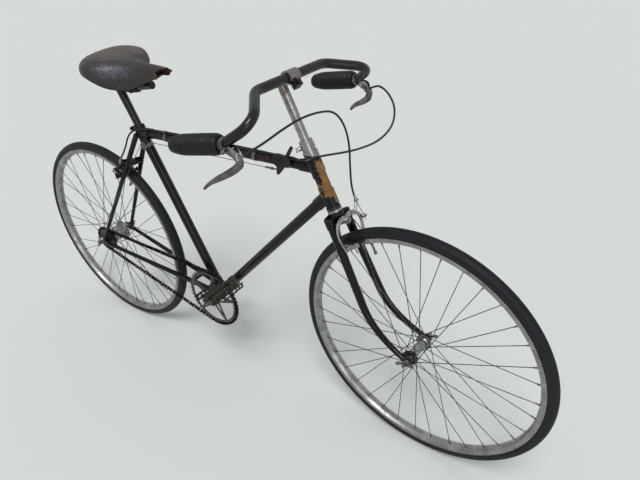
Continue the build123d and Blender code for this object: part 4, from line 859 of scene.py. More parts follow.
@dataclass
class Wheel:
    """Tyre, rim fittings and spoke ends of one wheel."""

    name: str
    axle: Vector
    flange: float
    spread: float
    valve_turn: float
    rim_inner: float = 302.5
    tyre_height: float = 29.0
    tread_half: float = 11.9
    tread_drop: float = 5.6
    ribs: int = 9
    # Share of a rib's width and how deep it lies there, the groove last
    rib_steps: Section = field(
        default_factory=lambda: [(0.0, 0.0), (0.62, 0.0), (0.72, 0.9), (0.9, 0.9)]
    )
    middle_rib: float = 1.32
    # Radius and half width of the left wall, from the rim's edge up to the tread
    wall: Section = field(
        default_factory=lambda: [
            (317.0, 10.8), (318.6, 11.7), (320.4, 12.9), (322.4, 13.8), (324.6, 14.4),
            (327.0, 14.5), (329.2, 14.3), (331.2, 13.8), (332.0, 13.6), (332.2, 12.9),
            (333.4, 12.5),
        ]
    )
    spokes: int = 36
    crossings: int = 6
    flange_edge: float = 3.0
    nipple_gap: float = 0.3
    hook_out: float = 2.5

    def shape(self, part: str, slot: str = "spoke_steel") -> Shape:
        """Start one of the wheel's pieces, which turns with the wheel."""
        return Shape(f"{self.name}_{part}", f"{self.name}_wheel", slot)

    def tyre(self) -> None:
        """Mould the tyre, ribbed along its tread."""
        crown = RIM_SEAT + self.tyre_height
        half = list(self.wall)
        for rib in range(self.ribs // 2):
            for share, sunk in self.rib_steps:
                across = self.tread_half * (1 - (rib + share) / (self.ribs / 2))
                drop = (across / self.tread_half) ** 2 * self.tread_drop
                half.append((crown - drop - sunk, across))
        half.append((crown, self.middle_rib))
        other = [(radius, -across) for radius, across in reversed(half)]
        shape = self.shape("tyre_tread", "tyre_rubber")
        shape.lathe(half + other, self.axle, SIDEWAYS, 240, loop=True)
        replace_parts(shape.make(TYRE_RUBBER, smooth=50), self.name + "_tyre")

    def fittings(self) -> None:
        """Set a nipple at the rim and a head at the flange for every spoke, and the valve."""
        hole = self.flange - self.flange_edge
        tip = self.rim_inner - self.nipple_gap
        step = math.radians(360.0 / self.spokes)
        nipples, heads = self.shape("nipples"), self.shape("spoke_heads")
        nipple = [(3.0, -0.4), (3.1, 1.0), (2.1, 1.6), (1.9, 9.0), (1.5, 11.5), (1.1, 12.0)]
        head = [(1.1, 0.0), (2.1, 0.2), (1.7, 1.4), (0.6, 1.8)]
        for index in range(self.spokes):
            side = 1 if index % 2 else -1
            lead = 1 if index % 4 < 2 else -1
            end = around(self.axle, tip, index * step) + SIDEWAYS * side * self.hook_out
            hub = around(self.axle, hole, (index + lead * self.crossings) * step)
            hub += SIDEWAYS * side * self.spread
            nipples.lathe(nipple, end, hub - end, 8)
            out = SIDEWAYS * side * -lead
            heads.lathe(head, hub + out * 1.6, out, 8)
        nipples.make(NIPPLE_BRASS)
        heads.make(SPOKE_WIRE)
        foot = around(self.axle, tip, math.radians(self.valve_turn))
        stem = [(5.0, -0.2), (5.0, 2.2), (3.0, 2.6), (3.0, 22), (4.0, 22.4), (4.0, 29), (2.2, 31)]
        valve = self.shape("valve")
        valve.lathe(stem, foot, self.axle - foot, 12)
        valve.make(NIPPLE_BRASS)

    def build(self) -> None:
        """Make all the wheel's pieces."""
        self.tyre()
        self.fittings()


@dataclass
class Chain:
    """Block of links and rollers round the ring and the sprocket."""

    line_y: float = -42.0
    pitch: float = 12.7
    ring_teeth: int = 48
    cog_teeth: int = 20
    plate_half: float = 4.1
    waist: float = 0.7
    inner_inset: float = 2.2
    outer_inset: float = 3.2
    roller: float = 3.85
    rivet: float = 1.6
    rivet_half: float = 4.7

    def path(self) -> list[Vector]:
        """Place every pin, a pitch apart, along the chain's run.

        Returns:
            The pins' middles.
        """
        near = self.pitch / 2 / math.sin(math.pi / self.cog_teeth)
        far = self.pitch / 2 / math.sin(math.pi / self.ring_teeth)
        span = BRACKET - REAR_AXLE
        reach = math.hypot(span.x, span.z)
        lean = math.atan2(span.z, span.x)
        open_angle = math.acos((near - far) / reach)
        top, low = lean + open_angle, lean - open_angle
        run = math.sqrt(reach**2 - (far - near) ** 2)
        cog_end = near * 2 * (math.pi - open_angle)
        low_end = cog_end + run
        ring_end = low_end + far * 2 * open_angle
        links = round((ring_end + run) / self.pitch)
        step = (ring_end + run) / links
        LOG.info("chain of %d links", links)
        pins = []
        for index in range(links):
            along = index * step
            if along < cog_end:
                spot = around(REAR_AXLE, near, top + along / near)
            elif along < low_end:
                start, end = around(REAR_AXLE, near, low), around(BRACKET, far, low)
                spot = start.lerp(end, (along - cog_end) / run)
            elif along < ring_end:
                spot = around(BRACKET, far, low + (along - low_end) / far)
            else:
                start, end = around(BRACKET, far, top), around(REAR_AXLE, near, top)
                spot = start.lerp(end, (along - ring_end) / run)
            pins.append(Vector((spot.x, self.line_y, spot.z)))
        return pins

    def outline(self, pin: Vector, after: Vector) -> list[Vector]:
        """Draw one plate, waisted between its two pins.

        Args:
            pin: Middle of the first pin.
            after: Middle of the next pin.

        Returns:
            The plate's corners.
        """
        along = (after - pin).normalized()
        upward = along.cross(SIDEWAYS)
        corners = []
        for end, start, sense in ((pin, 180, -1), (after, 0, 1)):
            for turn in (-100, -60, -20, 20, 60, 100):
                angle = math.radians(start + sense * turn)
                way = along * math.cos(angle) + upward * math.sin(angle)
                corners.append(end + way * self.plate_half)
        middle = (pin + after) / 2
        for place, beside in ((6, 5), (len(corners) + 1, -1)):
            height = (corners[beside] - middle).dot(upward) * self.waist
            corners.insert(place, middle + upward * height)
        return corners

    def build(self) -> None:
        """Make the plates, the rollers and the rivets."""
        pins = self.path()
        shape = Shape("chain_links", "frame", "chain_steel")
        for index, pin in enumerate(pins):
            corners = self.outline(pin, pins[(index + 1) % len(pins)])
            inset = self.inner_inset if index % 2 else self.outer_inset
            for side in (-1, 1):
                out = SIDEWAYS * side
                shape.plate([corner + out * inset for corner in corners], out)
            for radius, half, sides in (
                (self.roller, self.inner_inset, 10),
                (self.rivet, self.rivet_half, 8),
            ):
                shape.rod(pin - SIDEWAYS * half, pin + SIDEWAYS * half, radius, sides)
        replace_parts(shape.make(CHAIN_STEEL, smooth=30), "chain")


@dataclass
class Saddle:
    """Moulded leather top with its torn nose, its wire frame, clip and bent post."""

    steps_along: int = 64
    steps_round: int = 45
    thickness: float = 4.0
    roll: float = math.radians(5.0)
    post_slope: float = math.radians(66.2)
    post_radius: float = 12.75
    arm_thinner: float = 1.65
    thins_from: float = 218.0
    thins_over: float = 40.0
    arm_way: Vector = field(default_factory=lambda: Vector((145, 0, 24)).normalized())
    # Forward, top, right half width and drop, left half width and drop, and squareness
    stations: tuple[tuple[float, ...], ...] = (
        (-3, 14, 40, 12, 40, 10, 2.4),
        (6, 20, 62, 24, 62, 18, 2.6),
        (24, 25, 82, 36, 86, 26, 2.7),
        (58, 26, 93, 44, 101, 34, 2.7),
        (90, 22, 87, 56, 101, 40, 2.7),
        (108, 18, 76, 64, 90, 44, 2.5),
        (124, 15, 65, 68, 66, 50, 2.3),
        (142, 12, 53, 70, 47, 54, 2.2),
        (165, 9, 42, 66, 38, 52, 2.1),
        (205, 6, 29, 50, 28, 44, 2.0),
        (250, 3, 20.5, 31, 20, 31, 2.0),
        (296, 0, 15.5, 25, 15.5, 25, 2.0),
    )
    # Place round the nose from right edge to left, and how far forward the leather still reaches
    torn: tuple[tuple[float, float], ...] = (
        (-1.0, 258), (-0.8, 262), (-0.62, 254), (-0.45, 263), (-0.3, 274), (-0.15, 283),
        (0.0, 286), (0.12, 281), (0.3, 279), (0.45, 282), (0.6, 291), (0.75, 280), (0.9, 273),
        (1.0, 268),
    )
    # Depth, pace and start of the waves that fray the torn edge
    waves: tuple[Spot, Spot] = ((1.1, 41.0, 0.0), (0.8, 97.0, 1.0))
    # Height of each form, how far forward of the cantle its middle is, and how far it reaches
    sag: Spot = (-3.0, 120.0, 60.0)
    lip: Spot = (9.0, 84.0, 26.0)
    tuck: Spot = (-2.5, 130.0, 50.0)
    flat_half: float = 0.35
    # Above 1, the rows of points stand closer toward the cantle
    row_pace: float = 1.1

    def section(self, forward: float) -> list[float]:
        """Read a section between the stations.

        Args:
            forward: Distance forward of the cantle.

        Returns:
            The station's values after its first.
        """
        table = self.stations
        index = 0
        while index < len(table) - 2 and forward > table[index + 1][0]:
            index += 1
        near, far = table[index], table[index + 1]
        before, after = table[max(index - 1, 0)], table[min(index + 2, len(table) - 1)]
        span = far[0] - near[0]
        share = (forward - near[0]) / span
        values = []
        for column in range(1, len(near)):
            first = (far[column] - before[column]) / (far[0] - before[0]) * span
            last = (after[column] - near[column]) / (after[0] - near[0]) * span
            values.append(
                (2 * share**3 - 3 * share**2 + 1) * near[column]
                + (share**3 - 2 * share**2 + share) * first
                + (3 * share**2 - 2 * share**3) * far[column]
                + (share**3 - share**2) * last
            )
        return values

    def nose(self, across: float) -> float:
        """Say how far forward the torn nose reaches.

        Args:
            across: Place round the section, from -1 at the right edge to 1 at the left.

        Returns:
            Distance forward of the cantle.
        """
        fray = sum(depth * math.sin(pace * across + start) for depth, pace, start in self.waves)
        for (left, low), (right, high) in zip(self.torn, self.torn[1:]):
            if left <= across <= right:
                return low + (high - low) * (across - left) / (right - left) + fray
        return self.torn[-1][1]

    def point(self, share: float, across: float) -> Vector:
        """Place a point of the leather's outer face.

        Args:
            share: Place from the cantle, 0, to the nose, 1.
            across: Place round the section.

        Returns:
            The point in the bicycle's millimetres.
        """
        low = self.stations[0][0]
        forward = low + (self.nose(across) - low) * share
        top, right_half, right_drop, left_half, left_drop, square = self.section(forward)
        half, drop = (left_half, left_drop) if across > 0 else (right_half, right_drop)
        turn = across * math.pi / 2
        side = half * math.copysign(abs(math.sin(turn)) ** (2 / square), turn)
        rise = top - drop * (1 - abs(math.cos(turn)) ** (2 / square))
        # The seat sags in its middle, lips up along its left edge and tucks in below its waist
        height, middle, reach = self.sag
        sag = height * bell(forward, middle, reach) * bell(across, 0.0, self.flat_half)
        height, middle, reach = self.lip
        lip = height * max(0.0, across - self.flat_half) * bell(forward, middle, reach)
        height, middle, reach = self.tuck
        tuck = height * abs(across) ** 5 * bell(forward, middle, reach)
        lean = Vector((0.0, math.cos(self.roll), math.sin(self.roll)))
        lift = Vector((0.0, -math.sin(self.roll), math.cos(self.roll)))
        out = side + math.copysign(tuck, side)
        return SADDLE + Vector((forward, 0.0, 0.0)) + lean * out + lift * (rise + sag + lip)

    def top(self) -> None:
        """Mould the leather as one thick skin."""
        shape = Shape("saddle_top", "frame", "saddle_hide")
        rows = []
        for row in range(self.steps_along + 1):
            share = (row / self.steps_along) ** self.row_pace
            places = [1 - 2 * step / (self.steps_round - 1) for step in range(self.steps_round)]
            rows.append([self.point(share, across) for across in places])
        shape.rings(rows, capped=False, closed=False)
        piece = shape.make(SADDLE_HIDE, smooth=80)
        piece.data.materials.append(HIDE_INSIDE.material())
        skin = piece.modifiers.new("leather_thickness", "SOLIDIFY")
        skin.thickness = self.thickness * MM
        skin.offset = -1.0
        skin.material_offset = 1
        skin.material_offset_rim = 1
        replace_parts(piece, "saddle_leather")

    def rivets(self) -> None:
        """Set the rivets along the cantle."""
        studs = Shape("saddle_rivets", "frame", "saddle_steel")
        stud = [(4.2, -1.5), (4.2, 0.2), (3.0, 1.1), (0.8, 1.5)]
        for across in (-0.6, -0.36, 0.0, 0.36, 0.6):
            studs.lathe(stud, self.point(0.012, across), Vector((-1, 0, 0.35)), 12)
        studs.make(RIVET)

    def wire_frame(self) -> None:
        """Bend the two wires from the nose to the cantle, and the cantle's own strap."""
        wires = Shape("saddle_wires", "frame", "saddle_steel")
        route = (
            (256, 3, -19), (232, 12, -30), (190, 20, -44), (140, 23, -52), (80, 26, -47),
            (40, 46, -22), (16, 56, 2),
        )
        for side in (-1, 1):
            line = [SADDLE + mirrored(Vector(spot), side) for spot in route]
            wires.bend(line, 6, oval(3.5, 3.5, 10), Vector((0, 0.1, 1)))
        cantle = ((24, -62, -6), (10, -50, 2), (3, 0, 6), (10, 50, 6), (24, 62, 2))
        line = [SADDLE + Vector(spot) for spot in cantle]
        wires.bend(line, 6, oval(2.0, 6.0, 10, 3.0), Vector((0, 0, 1)))
        wires.rod(SADDLE + Vector((256, -9, -19)), SADDLE + Vector((256, 9, -19)), 4.5)
        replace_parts(wires.make(SADDLE_STEEL), "saddle_frame")

    def clip(self) -> None:
        """Hang the wires in the clip, with a nut at each side."""
        shape = Shape("saddle_clip", "frame", "saddle_steel")
        middle = SADDLE + Vector((139, 0, -62.5))
        collar = [(11.4, -14), (16, -13.5), (17, -12), (17, 12), (16, 13.5), (11.4, 14)]
        shape.lathe(collar, middle, self.arm_way, 28, loop=True)
        cheek = [(15, 14), (15, 19), (13, 20.5), (10, 21)]
        cheek += [(10, 27), (9, 28), (7, 28), (7, 33), (5.5, 34)]
        for side in (-1, 1):
            shape.lathe(cheek, middle, SIDEWAYS * side, 24)
        shape.make(SADDLE_STEEL, smooth=35)

    def post(self) -> None:
        """Bend the post into its level arm, open at the end."""
        up = Vector((-math.cos(self.post_slope), 0, math.sin(self.post_slope)))
        arm = SADDLE + Vector((213.3, 0, -51.4))
        route = [SEAT_JOINT + up * along for along in (-90, 40, 112)]
        route += [SEAT_JOINT + up * 126 + Vector((1, 0, 0)), SADDLE + Vector((76, 0, -73))]
        route += [arm - self.arm_way * along for along in (110, 60, 0)]
        line = spline_points(route, 7)
        sections = []
        for place in line:
            share = min(1.0, max(0.0, (place.x - self.thins_from) / self.thins_over))
            radius = self.post_radius - self.arm_thinner * share
            sections.append(oval(radius, radius, 28))
        shape = Shape("seat_pillar", "frame", "bar_enamel")
        shape.sweep(line, sections, SIDEWAYS)
        shape.lathe([(11.1, -0.5), (10.4, 0.8), (8.6, 0.8), (8.4, -0.2)], arm, self.arm_way, 28)
        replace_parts(shape.make(BAR_LACQUER, smooth=50), "seat_post")

    def build(self) -> None:
        """Make the leather, its rivets, its frame, the clip and the post."""
        self.top()
        self.rivets()
        self.wire_frame()
        self.clip()
        self.post()


@dataclass
class Grips:
    """Fat moulded rubber grips, finely ribbed round."""

    ribs: int = 34
    rib_ends: float = 12.0
    belly: float = 22.3
    swell: float = 0.5
    tail_from: float = 0.76
    tail_drop: float = 3.4
    past_bar: float = 3.0

    def profile(self, length: float) -> Section:
        """Draw the grip's outline, tapered toward its rear.

        Args:
            length: Length of the grip.

        Returns:
            Radius and height of each point.
        """
        points = [(11.3, 0.6), (14.0, 0.0), (17.0, 0.9), (19.3, 3.0), (20.9, 6.4), (21.8, 10.5)]
        for rib in range(self.ribs):
            share = rib / (self.ribs - 1)
            place = self.rib_ends + (length - 2 * self.rib_ends) * share
            tail = max(0.0, share - self.tail_from) / (1 - self.tail_from)
            crest = self.belly + self.swell * math.sin(math.pi * share) - self.tail_drop * tail**1.6
            for drop, along in ((0.2, -1.1), (0.0, -0.3), (0.2, 0.8), (1.0, 1.5)):
                points.append((crest - drop, place + along))
        for radius, before in ((18.6, 10.0), (17.6, 5.4), (15.6, 2.2), (12.6, 0.4), (3.0, 0.0)):
            points.append((radius, length - before))
        return points

    def build(self) -> None:
        """Mould both grips over the bar's two ends."""
        front = BAR_END - BAR_ALONG * GRIP_LENGTH
        rear = BAR_END + BAR_ALONG * self.past_bar
        profile = self.profile((rear - front).length)
        shape = Shape("grip_rubbers", "steering", "grip_rubber")
        for side in (1, -1):
            shape.lathe(profile, mirrored(front, side), mirrored(BAR_ALONG, side), 56)
        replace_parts(shape.make(GRIP_RUBBER, smooth=50), "grips")


@dataclass
class Lever:
    """Hand lever on one side of the bar: clamp, bracket, blade and cable stop."""

    side: int
    cable_start: Vector
    cable_next: Vector
    # The blade's section, hollow underneath, as shares of its half width and its depth
    section: tuple[tuple[float, float], ...] = (
        (-0.86, -1.0), (-1.0, -0.2), (-0.86, 0.6), (-0.4, 0.96), (0.4, 0.96), (0.86, 0.6),
        (1.0, -0.2), (0.86, -1.0), (0.55, -0.9), (0.0, -0.1), (-0.55, -0.9),
    )
    # Size at the root, what it swells by and how fast, what it loses at the tip and over what share
    blade_width: tuple[float, ...] = (6.4, 1.2, 1.0, 4.4, 0.25)
    blade_depth: tuple[float, ...] = (4.6, 2.6, 1.25, 2.4, 0.3)
    # Half thickness of a cheek, its half width on the band and how much narrower it ends
    cheek: Spot = (1.0, 6.5, 2.6)
    cheek_out: float = 5.0

    def spot(self, forward: float, left: float, up: float) -> Vector:
        """Give a point from the middle of the lever's clamp.

        Args:
            forward: Distance along X.
            left: Distance outward.
            up: Distance along Z.

        Returns:
            The point on this lever's side of the bicycle.
        """
        seat = BAR_END - BAR_ALONG * (GRIP_LENGTH + LEVER_GAP)
        return mirrored(seat + Vector((forward, left, up)), self.side)

    def shape(self, part: str) -> Shape:
        """Start one of the lever's pieces, named by its side."""
        return Shape(f"{'left' if self.side > 0 else 'right'}_{part}", "steering", "lever_steel")

    def band(self) -> None:
        """Clamp the lever to the bar with a band, its bolt and its ear."""
        shape = self.shape("lever_band")
        seat = self.spot(0, 0, 0)
        ring = [(11.2, -7.0), (13.6, -6.8), (14.0, -5.5), (14.0, 5.5), (13.6, 6.8), (11.2, 7.0)]
        shape.lathe(ring, seat, self.spot(-144, 12.5, -25) - seat, 28, loop=True)
        out = Vector((0.3, self.side * 0.7, -0.5))
        shape.lathe([(4.6, -5), (4.6, 1.6), (3.9, 2.6), (1.5, 2.8)], self.spot(6, 12, -12), out, 16)
        shape.lathe([(3.0, -11), (3.0, 8)], self.spot(8, 9, -8), out, 10)
        shape.make(BAND_STEEL, smooth=35)

    def bracket(self) -> None:
        """Stand the blade's two cheeks on the band."""
        shape = self.shape("lever_bracket")
        thin, wide, narrower = self.cheek
        for across in (-self.cheek_out, self.cheek_out):
            route = ((6, across, -10), (18, across, -5), (30, across, -8), (41, across - 1, -24))
            line = spline_points([self.spot(*place) for place in route], 5)
            last = len(line) - 1
            halves = [wide - narrower * index / last for index in range(len(line))]
            sections = [oval(thin, half, 8) for half in halves]
            shape.sweep(line, sections, Vector((-0.5, 0, 0.86)))
        shape.lathe([(5.0, -6.6), (5.0, 6.6)], self.spot(16, 0, -10), SIDEWAYS, 14)
        shape.make(BRACKET_STEEL, smooth=35)

    @staticmethod
    def size_at(
        share: float, root: float, swell: float, pace: float, loss: float, span: float
    ) -> float:
        """Work out a size of the blade at a place along it.

        Args:
            share: Place from the root, 0, to the tip, 1.
            root: Size at the root.
            swell: How much it swells on the way.
            pace: How fast it swells, where 1 swells over the whole length.
            loss: How much it loses at the tip.
            span: Share of the length over which that is lost.

        Returns:
            The size in millimetres.
        """
        bulge = swell * math.sin(math.pi * min(share * pace, 1.0))
        return root + bulge - loss * max(0.0, share - (1 - span)) / span

    def blade(self) -> None:
        """Forge the blade, hollow underneath and thinner toward its tip."""
        shape = self.shape("lever_blade")
        route = (
            (14, 1, -13), (28, 0, -17), (37, -1, -25), (36, 0, -35), (24, 4, -47), (4, 11, -60),
            (-18, 19, -72), (-36, 27, -84), (-48, 33, -96),
        )
        line = spline_points([self.spot(*place) for place in route], 6)
        sections = []
        for index in range(len(line)):
            share = index / (len(line) - 1)
            width = self.size_at(share, *self.blade_width)
            depth = self.size_at(share, *self.blade_depth)
            sections.append([(width * across, depth * up) for across, up in self.section])
        shape.sweep(line, sections, Vector((0.45, 0.0, 0.9)))
        shape.lathe([(3.2, -7.4), (3.2, 7.4)], self.spot(35, 0, -24), SIDEWAYS, 12)
        piece = shape.make(LEVER_STEEL, smooth=45)
        if self.side > 0:
            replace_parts(piece, "brake_levers")

    def cable_stop(self) -> None:
        """Turn the ferrule that the cable's casing stands in."""
        shape = self.shape("cable_stop")
        way = (self.cable_next - self.cable_start).normalized()
        ferrule = [(2.0, -3.0), (3.4, -2.6), (3.4, 1.0), (3.9, 1.3), (3.9, 7.0), (3.3, 9.4)]
        ferrule += [(2.7, 10.6)]
        shape.lathe(ferrule, self.cable_start - way * 10, way, 14)
        shape.make(BRACKET_STEEL, smooth=35)

    def build(self) -> None:
        """Make the band, the bracket, the blade and the cable's stop."""
        self.band()
        self.bracket()
        self.blade()
        self.cable_stop()


@dataclass
class Quadrant:
    """Raised rim, pivot and screws of the gear quadrant, and the adjuster on its wire."""

    face: Spot = (803.5, -19.7, 778.2)
    wire_start: Spot = (792.96, -17.0, 753.5)
    screws: tuple[tuple[float, float], ...] = ((-8.5, 3.5), (-3.0, -8.5), (21.0, 3.0))

    def trim(self) -> None:
        """Turn the rim, the pivot's two steps and the screws on the quadrant's face."""
        shape = Shape("quadrant_trim", "frame", "lever_steel")
        face, out = Vector(self.face), -SIDEWAYS
        rim = [(12.6, -0.3), (14.6, -0.3), (14.6, 0.9), (12.6, 0.9)]
        shape.lathe(rim, face, out, 32, loop=True)
        shape.lathe([(6.4, -0.3), (6.4, 1.6), (5.2, 2.6), (3.0, 3.0)], face, out, 20)
        shape.lathe([(3.0, 2.6), (3.0, 4.4), (1.6, 5.0)], face, out, 6)
        for forward, up in self.screws:
            spot = face + Vector((forward, 0, up))
            shape.lathe([(2.0, -0.3), (2.0, 0.8), (1.0, 1.2)], spot, out, 10)
        shape.make(QUADRANT, smooth=35)

    def adjuster(self) -> None:
        """Turn the wire's threaded sleeve and its knurled nut."""
        shape = Shape("gear_wire_adjuster", "frame", "lever_steel")
        start = Vector(self.wire_start)
        way = SEAT_JOINT + Vector((28.6, -24.0, -15.0)) - start
        sleeve = [(1.0, -1.0), (2.0, -0.6), (2.0, 9.0), (2.7, 9.4), (2.7, 33), (2.3, 34), (1.4, 36)]
        shape.lathe(sleeve, start, way, 14)
        shape.lathe([(3.4, 12.0), (3.6, 12.4), (3.6, 17.6), (3.4, 18.0)], start, way, 14)
        shape.make(LEVER_STEEL, smooth=35)

    def build(self) -> None:
        """Make the trim and the adjuster."""
        self.trim()
        self.adjuster()


# Bends of each brake arm from its bolt to its shoe: left, up and half width
FRONT_HELD = (
    (0, 0, 8), (-14, 8, 6.5), (-31, 4, 5.4), (-43, -10, 4.6), (-47, -28, 4.0), (-46, -45, 3.2),
    (-42, -61, 3.6),
)
FRONT_PULLED = (
    (0, 0, 8), (16, 8, 6.5), (32, 5, 5.6), (46, -4, 5), (51, -18, 4.8), (47, -38, 4.5),
    (37, -61, 5.2),
)
REAR_PULLED = (
    (0, 0, 8), (16, 3, 6.5), (32, -4, 5.8), (45, -24, 5.2), (42, -44, 4.8), (34, -61, 5.2),
)
REAR_STUB = ((0, 0, 7), (-14, 10, 5.5), (-28, 18, 5), (-42, 23, 4.6))
REAR_HELD = (
    (0, 0, 8), (-16, 3, 6.5), (-34, -4, 5.8), (-51, -22, 5.2), (-46, -44, 4.8), (-34, -61, 5.2),
)


@dataclass
class Brake:
    """Side-pull caliper: curved arms on one bolt, shoes, cable stop, clamp and spring.

    Each arm comes with its layer on the bolt, counted outward, and a layer is a leaf thick.
    """

    name: str
    body: str
    pivot: Vector
    up: Vector
    out: Vector
    base: float
    stub: float
    arms: tuple[tuple[int, tuple[Spot, ...]], ...]
    seat: Vector
    tangent: Vector
    lead: float
    stop: tuple[Vector, Vector]
    clamp: tuple[Vector, Vector]
    finish: Finish
    leaf: float = 4.5
    leaf_section: tuple[float, int, float] = (2.4, 16, 3.2)
    steps: int = 6
    shoe_out: float = 25.5
    shoe_plate: float = 3.0
    rod_span: tuple[float, float] = (27.0, 39.0)
    rod_radius: float = 3.4
    nut_place: float = 38.5

    def spot(self, left: float, up: float, out: float) -> Vector:
        """Give a point from the caliper's bolt.

        Args:
            left: Distance to the rider's left.
            up: Distance up the caliper.
            out: Distance outward from the bolt's middle.

        Returns:
            The point in the bicycle's millimetres.
        """
        return self.pivot + SIDEWAYS * left + self.up * up + self.out * out

    def shape(self, part: str) -> Shape:
        """Start one of the caliper's pieces."""
        return Shape(f"{self.name}_caliper_{part}", self.body, "caliper_steel")

    def nut(self, shape: Shape, foot: Vector, way: Vector, radius: float, reach: float) -> None:
        """Add a bolt's washer, six-sided nut and rounded end.

        Args:
            shape: Shape that takes it.
            foot: Where the washer sits.
            way: Direction the nut stands out.
            radius: Nut's radius over its corners.
            reach: Height of the nut.
        """
        washer, end = radius * 1.25, radius * 0.5
        shape.lathe([(washer, 0.0), (washer, 1.0)], foot, way, 18)
        shape.lathe([(radius, 1.0), (radius, reach - 0.5), (radius * 0.86, reach)], foot, way, 6)
        shape.lathe([(end, reach), (end, reach + 2.0), (radius * 0.3, reach + 2.8)], foot, way, 12)

    def build_arms(self) -> None:
        """Bend the arms, bolt them together and hang the shoes on their rods."""
        shape = self.shape("arms")
        for layer, bends in self.arms:
            middle = self.base + self.leaf * (layer + 0.5)
            path = spline_points([self.spot(left, up, middle) for left, up, _ in bends], self.steps)
            halves = [half for _, _, half in bends]
            sections = []
            for index in range(len(path)):
                share = index / self.steps
                low = min(int(share), len(halves) - 2)
                half = halves[low] + (halves[low + 1] - halves[low]) * (share - low)
                sections.append(oval(half, *self.leaf_section))
            shape.sweep(path, sections, self.out)
        boss = [(9.0, 0.0), (9.6, 0.4), (9.6, 8.7), (9.0, 9.1)]
        shape.lathe(boss, self.pivot + self.out * self.base, self.out, 24)
        shape.rod(self.pivot - self.out * self.stub, self.pivot + self.out * (self.base + 2), 4.0)
        across = self.tangent.cross(SIDEWAYS)
        front = [(21.5, -5), (21.5, 5), (20, 6)]
        corners = [(-20, -6), (20, -6), *front, *((-x, y) for x, y in reversed(front))]
        near, far = self.rod_span
        for side in (-1, 1):
            out = SIDEWAYS * side
            middle = self.seat + self.tangent * self.lead + out * self.shoe_out
            outline = [middle + self.tangent * x + across * y for x, y in corners]
            shape.plate(outline, out * self.shoe_plate)
            shape.rod(self.seat + out * near, self.seat + out * far, self.rod_radius, steps=14)
        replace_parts(shape.make(self.finish, bevel=0.4), f"{self.name}_brake")

    def build_fittings(self) -> None:
        """Add the nuts, the casing's stop and the wire's clamp."""
        shape = self.shape("fittings")
        self.nut(shape, self.pivot + self.out * (self.base + 9.1), self.out, 7.0, 5.5)
        for side in (-1, 1):
            out = SIDEWAYS * side
            self.nut(shape, self.seat + out * self.nut_place, out, 5.2, 4.0)
        foot, top = self.stop
        height = (top - foot).length
        barrel = [(2.2, -6), (2.2, 0), (4.4, 0.2), (4.4, 5), (3.4, 5.4)]
        barrel += [(3.4, height), (2.7, height + 1.5)]
        shape.lathe(barrel, foot, top - foot, 14)
        rear, front = self.clamp
        way = (front - rear).normalized()
        shape.rod(rear, front, 2.6)
        self.nut(shape, front - way * 9, way, 4.6, 4.5)
        shape.lathe([(5.2, 0), (5.2, 2.5)], rear, way, 16)
        shape.make(BRACKET_STEEL, smooth=35)

    def build_wires(self) -> None:
        """Run the bare wire to its clamp and bend the spring's two legs."""
        shape = self.shape("wires")
        foot, top = self.stop
        held = self.clamp[0].lerp(self.clamp[1], 0.5)
        shape.rod(foot, held, 0.8)
        shape.rod(held, held - (top - foot).normalized() * 12 + SIDEWAYS * 3, 0.8)
        legs = ((3, 6, -2), (14, 1, -3), (26, -9, -1), (33, -26, 0), (38, -40, 1))
        for side in (-1, 1):
            line = [self.spot(side * left, up, self.base + out) for left, up, out in legs]
            shape.bend(line, self.steps, oval(1.2, 1.2, 8), self.out)
        shape.make(SADDLE_STEEL)

    def build(self) -> None:
        """Make the arms, the fittings and the wires."""
        self.build_arms()
        self.build_fittings()
        self.build_wires()


@dataclass
class FrontBrake(Brake):
    """Front caliper, with the hanger of its cable's stop and the straps round its shoes."""

    def hanger(self) -> None:
        """Bend two wires to the cable's stop, with a collar on it."""
        shape = self.shape("prong")
        for route in (
            ((24, 2, 25), (34, 10, 26), (44, 20, 26), (49, 26, 26)),
            ((30, -2, 25), (40, 6, 27), (50, 17, 27), (54, 24, 27)),
        ):
            line = [self.spot(*place) for place in route]
            shape.bend(line, 5, oval(1.5, 1.1, 8), self.out)
        collar = [(3.4, -2.0), (7.0, -2.0), (7.0, 0.4), (3.4, 0.4)]
        shape.lathe(collar, self.stop[0], self.up, 18, loop=True)
        shape.make(CALIPER_STEEL, smooth=35)

    def straps(self) -> None:
        """Bend the strap that runs from each shoe's bolt round the shoe's end."""
        shape = Shape("front_shoe_stirrup", self.body, "caliper_steel")
        ahead, away = self.tangent, self.tangent.cross(SIDEWAYS)
        foot = self.seat - SIDEWAYS * 41
        bends = ((1, 0, 0), (12, 5, 0), (22, 5, 2), (26, -4, 3), (27, -16, 4))
        line = [foot + ahead * along + away * up + SIDEWAYS * inward for along, up, inward in bends]
        for side in (1, -1):
            mirror = [mirrored(spot, side) for spot in line]
            shape.bend(mirror, 5, oval(2.6, 1.1, 12, 3.0), SIDEWAYS)
        shape.make(CALIPER_STEEL)

    def build(self) -> None:
        """Make the caliper, its hanger and its straps."""
        super().build()
        self.hanger()
        self.straps()


def front_brake() -> FrontBrake:
    """Lay out the front brake, bolted through the fork's crown.

    Returns:
        The brake, ready to build.
    """
    to_seat = HEAD_FORWARD * -51.4 + HEAD_UP * 306.72
    return FrontBrake(
        name="front",
        body="steering",
        pivot=on_head(-40),
        up=HEAD_UP,
        out=HEAD_FORWARD,
        base=18.8,
        stub=14.0,
        arms=((1, FRONT_HELD), (0, FRONT_PULLED)),
        seat=FRONT_AXLE + to_seat,
        tangent=SIDEWAYS.cross(to_seat.normalized()),
        lead=10.0,
        stop=(on_head(-14, 26, 54), on_head(-2, 26, 54)),
        clamp=(on_head(-57, 19, 57), on_head(-57, 36, 57)),
        finish=CALIPER_STEEL,
    )


